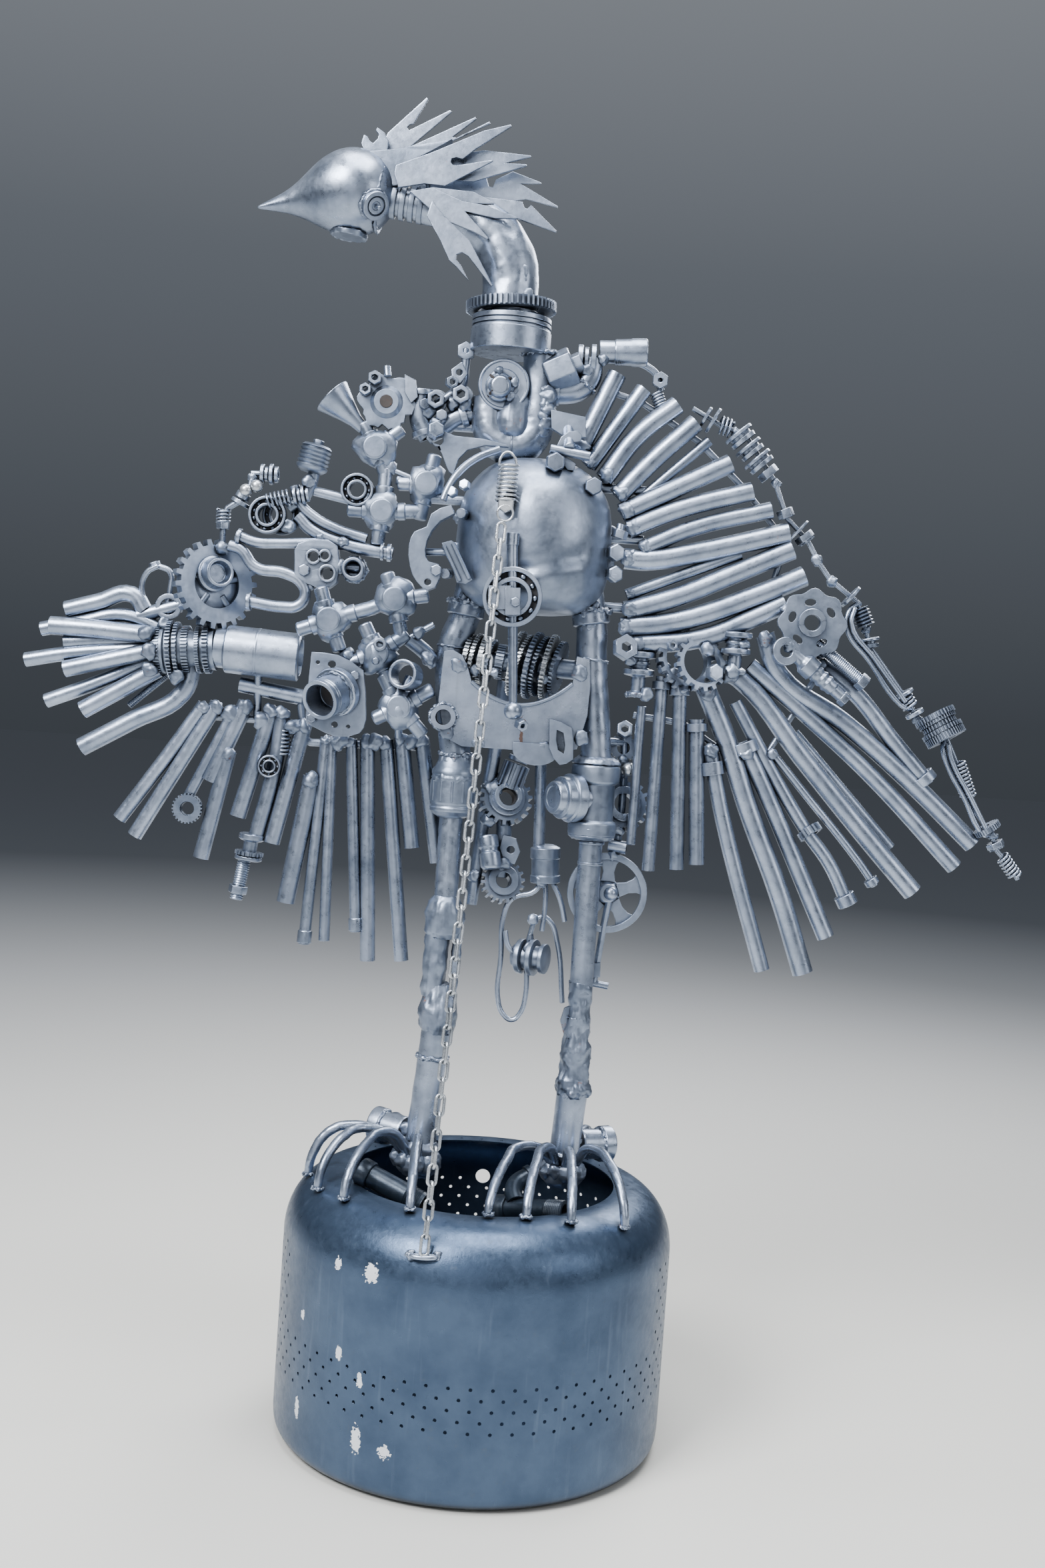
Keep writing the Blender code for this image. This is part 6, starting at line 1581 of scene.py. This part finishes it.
def makeHub():
    first = spoolShape(150, 982, 926)
    first += [ring((128, -18, 984), (0.3, -1, 0.2), 16, 8, 12, 6), blob((138, -10, 972), 18),
              blob((160, -10, 930), 16)]
    weldUp("hubSpool1", first, "right_spool_1")
    weldUp("hubSpool2", spoolShape(266, 1014, 962) + [blob((262, -12, 966), 18), blob((276, -8, 1000), 14)],
           "right_spool_2")
    way = Vector((0.35, -0.9, 0.25)).normalized()
    gears = [gearWheel((206, 4, 976), way, 39, 33, 28, 11, 18, "cast"),
             gearWheel((224, -10, 972), way, 35, 30, 25, 9, 16, "cast")]
    bolt = [nut((238, -14, 962), (0.5, -1, 0.1), 22, 12, 0), nut((186, -18, 990), (0.2, -1, 0.3), 14, 8)]
    weldUp("hubGears", gears + bolt + [blob((190, -8, 956), 18), blob((232, -12, 990), 18),
                                      blob((180, 0, 966), 16)],
           "right_wing_gears")


def makeRightStator():
    rim = []
    for i in range(56):  # rounded tabs round the rim
        angle = 2 * math.pi * i / 56
        reach = 40 + 2.6 * math.cos(8 * angle)
        rim.append((355 + reach * math.cos(angle), 1030 + reach * 1.02 * math.sin(angle)))
    slots = []
    for degrees in (35, 100, 165, 230, 300):
        angle = math.radians(degrees)
        x, z = 355 + 26 * math.cos(angle), 1030 + 26 * math.sin(angle)
        slots.append([(x + 4.5 * math.cos(angle) * math.cos(t) - 7 * math.sin(angle) * math.sin(t),
                       z + 4.5 * math.sin(angle) * math.cos(t) + 7 * math.cos(angle) * math.sin(t))
                      for t in [2 * math.pi * k / 12 for k in range(12)]])
    face = plate([rim, roundHole(354, 1031, 10)] + slots, -14, 8, "cast")
    boss = ring((354, -18, 1031), front, 17, 10, 6, 36)
    disc = ring((324, -14, 994), (0.2, -1, 0.1), 17, 8, 8, 32)
    shock = turned([(0, 8), (14, 9), (18, 12), (20, 14), (34, 14), (36, 10), (40, 11), (44, 9), (48, 11),
                    (52, 9), (56, 11),
                    (60, 9), (66, 9), (68, 7), (84, 7)], (335, -12, 994), (0.78, 0, -0.62), 30)
    tip = nut((335 + 0.78 * 80, -12, 994 - 0.62 * 80), (0.78, 0, -0.62), 19, 9)
    bar = threadedBar((352, -8, 1016), (426, -8, 961), 15, 2.5, "silver", 20)
    capNut = nut((418, -8, 967), (0.8, 0, -0.6), 22, 11)
    dabs = [blob((330, -14, 1000), 16), blob((372, -10, 1000), 17), blob((322, -10, 1046), 16)]
    weldUp("statorPlate", [face, boss, disc, shock, tip, bar, capNut] + dabs, "right_stator_plate")


edgeString = {
    "route": ((192, 1281), (229, 1262), (258, 1254), (299, 1199), (316, 1157), (344, 1131), (360, 1105),
              (375, 1086),
              (410, 1061), (422, 1034), (429, 1009), (482, 944), (499, 918), (527, 915), (549, 871),
              (567, 827), (599, 786), (607, 768), (625, 751), (635, 735)),
    "rod": 6,
    # kind, where, towards, across or radius, length
    "beads": (
        ("washer", (207, 1273), (229, 1262), 13, 4), ("washer", (216, 1269), (229, 1262), 17, 4),
        ("coil", (226, 1264), (258, 1254), 10, 16), ("collet", (248, 1256), (299, 1199), 19, 15),
        ("collet", (261, 1241), (299, 1199), 18, 14), ("collet", (273, 1227), (299, 1199), 19, 14),
        ("nut", (286, 1213), (299, 1199), 27, 10), ("nut", (312, 1167), (318, 1154), 21, 11),
        ("washer", (330, 1143), (344, 1131), 17, 3), ("castle", (337, 1138), (350, 1122), 25, 14),
        ("washer", (400, 1068), (412, 1058), 16, 4), ("bellows", (413, 1053), (424, 1030), 12, 22),
        ("collet", (427, 1018), (429, 1009), 14, 12), ("washer", (474, 954), (498, 920), 14, 4),
        ("coil", (478, 949), (498, 920), 9, 14), ("washer", (490, 932), (498, 920), 12, 5),
        ("spring", (549, 873), (567, 830), 9, 44), ("knurl", (592, 795), (604, 778), 17, 7),
        ("castle", (602, 779), (610, 764), 23, 12), ("spring", (613, 762), (636, 734), 7.5, 30),
    ),
    "loops": (((414, 2, 1060), (401, -7, 1050), (398, -9, 1030), (430, -8, 990), (472, -7, 940),
               (490, 2, 934)),
              ((533, 2, 905), (528, -7, 892), (534, -9, 872), (560, -8, 830), (584, -7, 790), (599, 2, 786))),
}


def stringPiece(kind, at, way, size, length):
    if kind == "washer":
        return [ring(at, way, size, 4.5, length, 28)]
    if kind == "nut":
        return [nut(at, way, size, length, 0.42)]
    if kind == "castle":
        return [nut(at, way, size, length * 0.6, 0.42), gearWheel(at + way * length * 0.55, way,
                                                                  size * 0.44, size * 0.3, 4.5,
                                                                 length * 0.5, 6)]
    if kind == "coil":
        return [coil(at, way, size, 3.4, max(3, length / 5), length)]
    if kind == "spring":
        return [coil(at, way, size, 3.4, length / 4.6, length)]
    if kind == "knurl":
        return [gearWheel(at, way, size, size - 1.4, 5, length, 30)]
    if kind == "bellows":
        profile = [(i * length / 10, size - (i % 2) * 3.4) for i in range(11)]
        return [turned([(0, 5)] + profile + [(length, 5)], at, way, 28, "cast", 0)]
    # a stepped collet with a flange
    return [turned([(0, 5), (0, size - 1), (1, size), (length * 0.3, size), (length * 0.34, size - 5),
                    (length * 0.6, size - 5),
                    (length * 0.64, size - 2), (length, size - 2.6), (length, 5)], at, way, 32, "silver",
                   0.3)]


def makeEdgeString():
    pieces = [route([(x, 0, z) for x, z in edgeString["route"]], edgeString["rod"], sides=14, bent=False)]
    for kind, (x, z), (towardsX, towardsZ), size, length in edgeString["beads"]:
        way = Vector((towardsX - x, 0, towardsZ - z)).normalized()
        pieces += stringPiece(kind, Vector((x, 0, z)), way, size, length)
    pack = Vector((515, 0, 930))
    way = Vector((0.5, -0.2, -0.84)).normalized()
    for along, tip, root, thickness, teeth in ((3, 26, 23.5, 7, 34), (9, 24, 22, 5, 40),
                                               (15, 22, 20, 6, 30), (22, 26, 23.5, 6, 36),
                                               (30, 25.5, 23.5, 9, 44)):
        pieces.append(gearWheel(pack + way * along, way, tip, root, 11, thickness, teeth, "cast"))
    pieces.append(turned([(0, 12), (34, 12)], pack, way, 24, "cast"))
    for loop in edgeString["loops"]:
        pieces.append(route(loop, 7, sides=12))
        pieces.append(route([Vector(p) + Vector((5, -5, 3)) for p in loop[1:-1]], 6, sides=10))
    for x, z, size in ((246, 1256, 12), (300, 1198, 12), (358, 1108, 14), (378, 1084, 14), (424, 1028, 11),
                       (496, 922, 14), (528, 914, 18), (600, 786, 12)):
        pieces.append(blob((x, 0, z), size))
    weldUp("wingEdgeString", pieces, "right_edge_string", smooth=40)


# round the neck's foot
def makeHubWasher():
    face = turned([(-4.5, 14), (-4.5, 29), (-3, 31), (2, 31), (3.4, 30), (3.4, 28), (2.4, 27), (2.4, 19),
                   (3.4, 18), (3.4, 14)],
                  (-39, -20, 1290), front, 56, "silver", 0.3)
    knob = turned([(0, 17), (9, 17.4), (11, 16), (12, 14), (18, 13.4), (20, 12.6), (22, 11), (24, 8)],
                  (-44, -20, 1286), (0.06, -1, -0.04), 40, "silver", 0.3)
    # dark strips half sunk into the knob: painted shade standing for its slots
    slots = [route([(-44 + 17 * math.cos(a), -28, 1286 + 17 * math.sin(a)),
                    (-44 + 9 * math.cos(a), -42, 1286 + 9 * math.sin(a))],
                   4, sides=8, finish="scale") for a in (0.7, 2.3, 3.9, 5.4)]
    dabs = [blob((-52, -31, 1280), 13), blob((-26, -30, 1292), 12), blob((-46, -30, 1304), 11),
            blob((-30, -30, 1276), 12)]
    weldUp("hubWasher", [face, knob] + slots + dabs, "hub_washer")


def makeCoupling():
    socket = turned([(0, 20), (0, 22), (2, 24), (34, 24), (36, 22.6), (36, 15), (34, 13), (46, 13),
                     (46, 9)], (12, -6, 1306),
                    (0.86, -0.1, 0.42), 6, "silver", 1.0)
    elbow = route([(14, 2, 1290), (34, 2, 1290), (52, 2, 1295), (63, 2, 1308), (66, 2, 1322),
                   (66, 2, 1332)], 29, 20, 28)
    pieces = [socket, elbow, ring((22, 2, 1290), right, 17, 11, 7, 32),
              bead((58, 2, 1301), (0.6, 0, 0.8), 15, 4)]
    pieces += [ring((48, 2, 1330), right, 18.5, 10, 6, 32), ring((56, 2, 1330), right, 16, 10, 5, 32),
               ring((64, 2, 1331), right, 19, 10, 6, 32)]
    pieces.append(turned([(0, 12), (0, 14), (18, 14), (20, 15.6), (38, 16), (40, 17), (56, 17), (58, 16),
                          (58, 12.6), (26, 12), (26, 1)],
                         (74, 2, 1341), (1, 0, 0.06), 36, "silver", 0.4))
    pieces.append(threadedBar((94, 2, 1342), (110, 2, 1343), 31.4, 2.4, "silver", 30))
    pieces.append(route([(116, 6, 1334), (134, 6, 1328), (147, 6, 1317), (152, 6, 1300)], 9, sides=14))
    pieces += [nut((150, -4, 1312), back, 21, 13, 0.4), coil((146, 4, 1298), (0.4, 0, -0.9), 7, 3, 5, 18)]
    pieces += [blob((20, -12, 1302), 18), blob((60, -10, 1316), 16), blob((78, -8, 1330), 15),
               blob((12, -12, 1326), 15)]
    weldUp("neckCoupling", pieces, "neck_coupling")


for make in (makeHub, makeRightStator, makeEdgeString, makeHubWasher, makeCoupling):
    make()
print("right hub and edge built")

# tail: gears, a splined sleeve, bent rods and a wheel, hung behind the legs
def makeTailGears():
    pipe = route([(-14, 12, 936), (-20, 30, 850), (-26, 34, 795), (-30, 36, 740), (-38, 36, 653)], 17, 11, 22)
    upWay, lowWay = Vector((0.25, -1, 0.3)).normalized(), Vector((0.2, -1, 0.3)).normalized()
    upper = gearWheel((-4, 34, 787), upWay, 34, 28.5, 16, 20, 18, "cast")
    rim = ring(Vector((-4, 34, 787)) + upWay * 11, upWay, 23, 15, 5, 40)
    hub = ring(Vector((-4, 34, 787)) + upWay * 15, upWay, 17.5, 12, 8, 36)
    splines = gearWheel(Vector((-4, 34, 787)) + upWay * 6, upWay, 15, 13.6, 10, 14, 22, "scale")
    lower = gearWheel((0, 34, 684), lowWay, 28, 23.5, 9, 14, 18, "weld")
    lowerFace = ring(Vector((0, 34, 684)) + lowWay * 8, lowWay, 19, 10, 5, 32, "weld")
    helical = gearWheel((4, 30, 818), (0.3, 0, 1), 17, 14, 6, 32, 14, "cast")
    collar = ring((9, 30, 836), (0.3, 0, 1), 13, 6, 6, 28)
    brace = route([(-14, 34, 780), (-4, 34, 760), (-2, 34, 736), (-4, 34, 690)], 20, sides=22, finish="cast")
    cylinder = turned([(0, 8), (0, 12), (3, 13), (14, 13), (16, 11), (20, 11), (22, 13), (38, 13),
                       (42, 10)], (-22, 14, 742),
                      (0.2, -0.2, -1), 30)
    lug = plate([[(-2, 744), (14, 740), (20, 724), (14, 708), (0, 712), (-6, 728)], roundHole(8, 726, 5)],
                24, 8, "cast")
    dabs = [blob((-18, 22, 800), 20), blob((-22, 22, 760), 18), blob((0, 20, 708), 16),
            blob((-16, 14, 880), 18), blob((-36, 28, 690), 15)]
    weldUp("tailGearStack", [pipe, upper, rim, hub, splines, lower, lowerFace, helical, collar, brace,
                             cylinder, lug] + dabs,
           "tail_gears", smooth=40)


def makeTailSleeve():
    pipe = route([(34, 12, 936), (38, 30, 840), (41, 30, 780), (44, 30, 700)], 15, 9, 20)
    base, way = Vector((54, 30, 687)), Vector((-0.06, 0, 1)).normalized()
    sleeve = turned([(0, 14), (0, 18), (1, 19), (9, 19), (10, 17.6), (30, 17.6), (31, 19), (43, 19),
                     (44, 18), (46, 14), (48, 10)],
                    base, way, 40, "cast")
    rods = [route(points, 6.5, sides=12) for points in (
        ((50, 30, 694), (42, 30, 676), (14, 30, 664), (6, 30, 648), (5, 30, 590), (6, 30, 531),
         (14, 30, 516), (24, 30, 511),
         (34, 30, 520), (39, 30, 540), (38, 30, 590), (40, 30, 622), (50, 30, 643), (62, 30, 640),
         (74, 30, 614), (86, 30, 537)),
        ((54, 30, 692), (56, 28, 660), (54, 28, 626)), ((62, 30, 690), (74, 26, 668), (82, 28, 640)),
        ((8, 24, 624), (14, 22, 604), (30, 24, 592)))]
    spin = Vector((0.93, -0.36, 0)).normalized()
    rotor = turned([(0, 7), (0, 14), (6, 15), (6, 21), (8, 22), (13, 22), (15, 15), (21, 15), (22, 22),
                    (24, 23), (29, 23),
                    (30, 15), (37, 15), (38, 19), (43, 19), (44, 7)], (21, 36, 592), spin, 40, "weld")
    tie = route([(40, 30, 622), (44, 30, 600)], 7, sides=10)
    dabs = [blob((50, 18, 690), 17), blob((42, 20, 640), 14), blob((38, 20, 604), 14),
            blob((36, 18, 880), 16)]
    weldUp("tailSleeve", [pipe, sleeve, rotor, tie] + rods + dabs, "tail_sleeve", smooth=45)


def makeTailWheel():
    x, y, z = 132, 32, 680
    pieces = [ring((x, y, z), front, 50, 42, 9, 64, "cast"), ring((x, y - 5, z), front, 49, 45, 2.4, 64)]
    for i in range(5):  # flat cast spokes that widen to the rim
        angle = 2 * math.pi * i / 5 + 0.3
        out, across = (math.cos(angle), math.sin(angle)), (-math.sin(angle), math.cos(angle))
        spots = [(14, 9), (26, 7), (36, 9), (44, 15), (44, -15), (36, -9), (26, -7), (14, -9)]
        pieces.append(plate([[(x + out[0] * r + across[0] * s, z + out[1] * r + across[1] * s)
                              for r, s in spots]], y, 7, "cast"))
    pieces.append(turned([(0, 16), (2, 17), (10, 17), (12, 14), (20, 12), (22, 9)], (x, y + 9, z), front,
                         36, "cast"))
    pieces.append(route([(x + 4, y - 8, z), (x - 1, y - 6, 640), (124, y - 2, 566)], 8.5, sides=16))
    pieces.append(ball((x + 4, y - 10, z), 9, "silver", 24, 14))
    pieces.append(plate([[(115, 590), (130, 592), (131, 574), (117, 572)]], y - 4, 12, "cast"))
    pieces.append(route([(112, y - 2, 566), (142, y - 2, 562)], 9, sides=14))
    pieces.append(route([(x + 8, y, z + 46), (141, y, 742), (143, y, 800), (140, y, 880)], 10, sides=16))
    tilt = Vector((0.2, -1, 0.2)).normalized()
    gearAt = Vector((143, y, 791))
    pieces += [gearWheel(gearAt, tilt, 34, 29, 14, 13, 18, "cast"),
               ring(gearAt + tilt * 8, tilt, 22, 13, 5, 36),
               gearWheel((139, y - 2, 862), (0.1, -1, 0.1), 18, 15.5, 8, 8, 20),
               nut((139, y - 6, 884), (0, -1, 0.3), 22, 10)]
    pieces.append(ball((147, y - 12, 836), 9, "zinc"))
    pieces += [route([(147, y - 10, 836), (143, y, 824)], 8, sides=12),
               route([(139, y, 869), (106, 4, 869)], 10, sides=14),
               route([(130, y - 4, 740), (152, y - 8, 738)], 16, 10, 20)]
    pieces += [blob((140, y - 8, 762), 17), blob((140, y - 8, 846), 15), blob((136, y - 6, 728), 15)]
    weldUp("tailWheel", pieces, "tail_wheel", smooth=45)


makeTailGears()
makeTailSleeve()
makeTailWheel()
print("tail built")
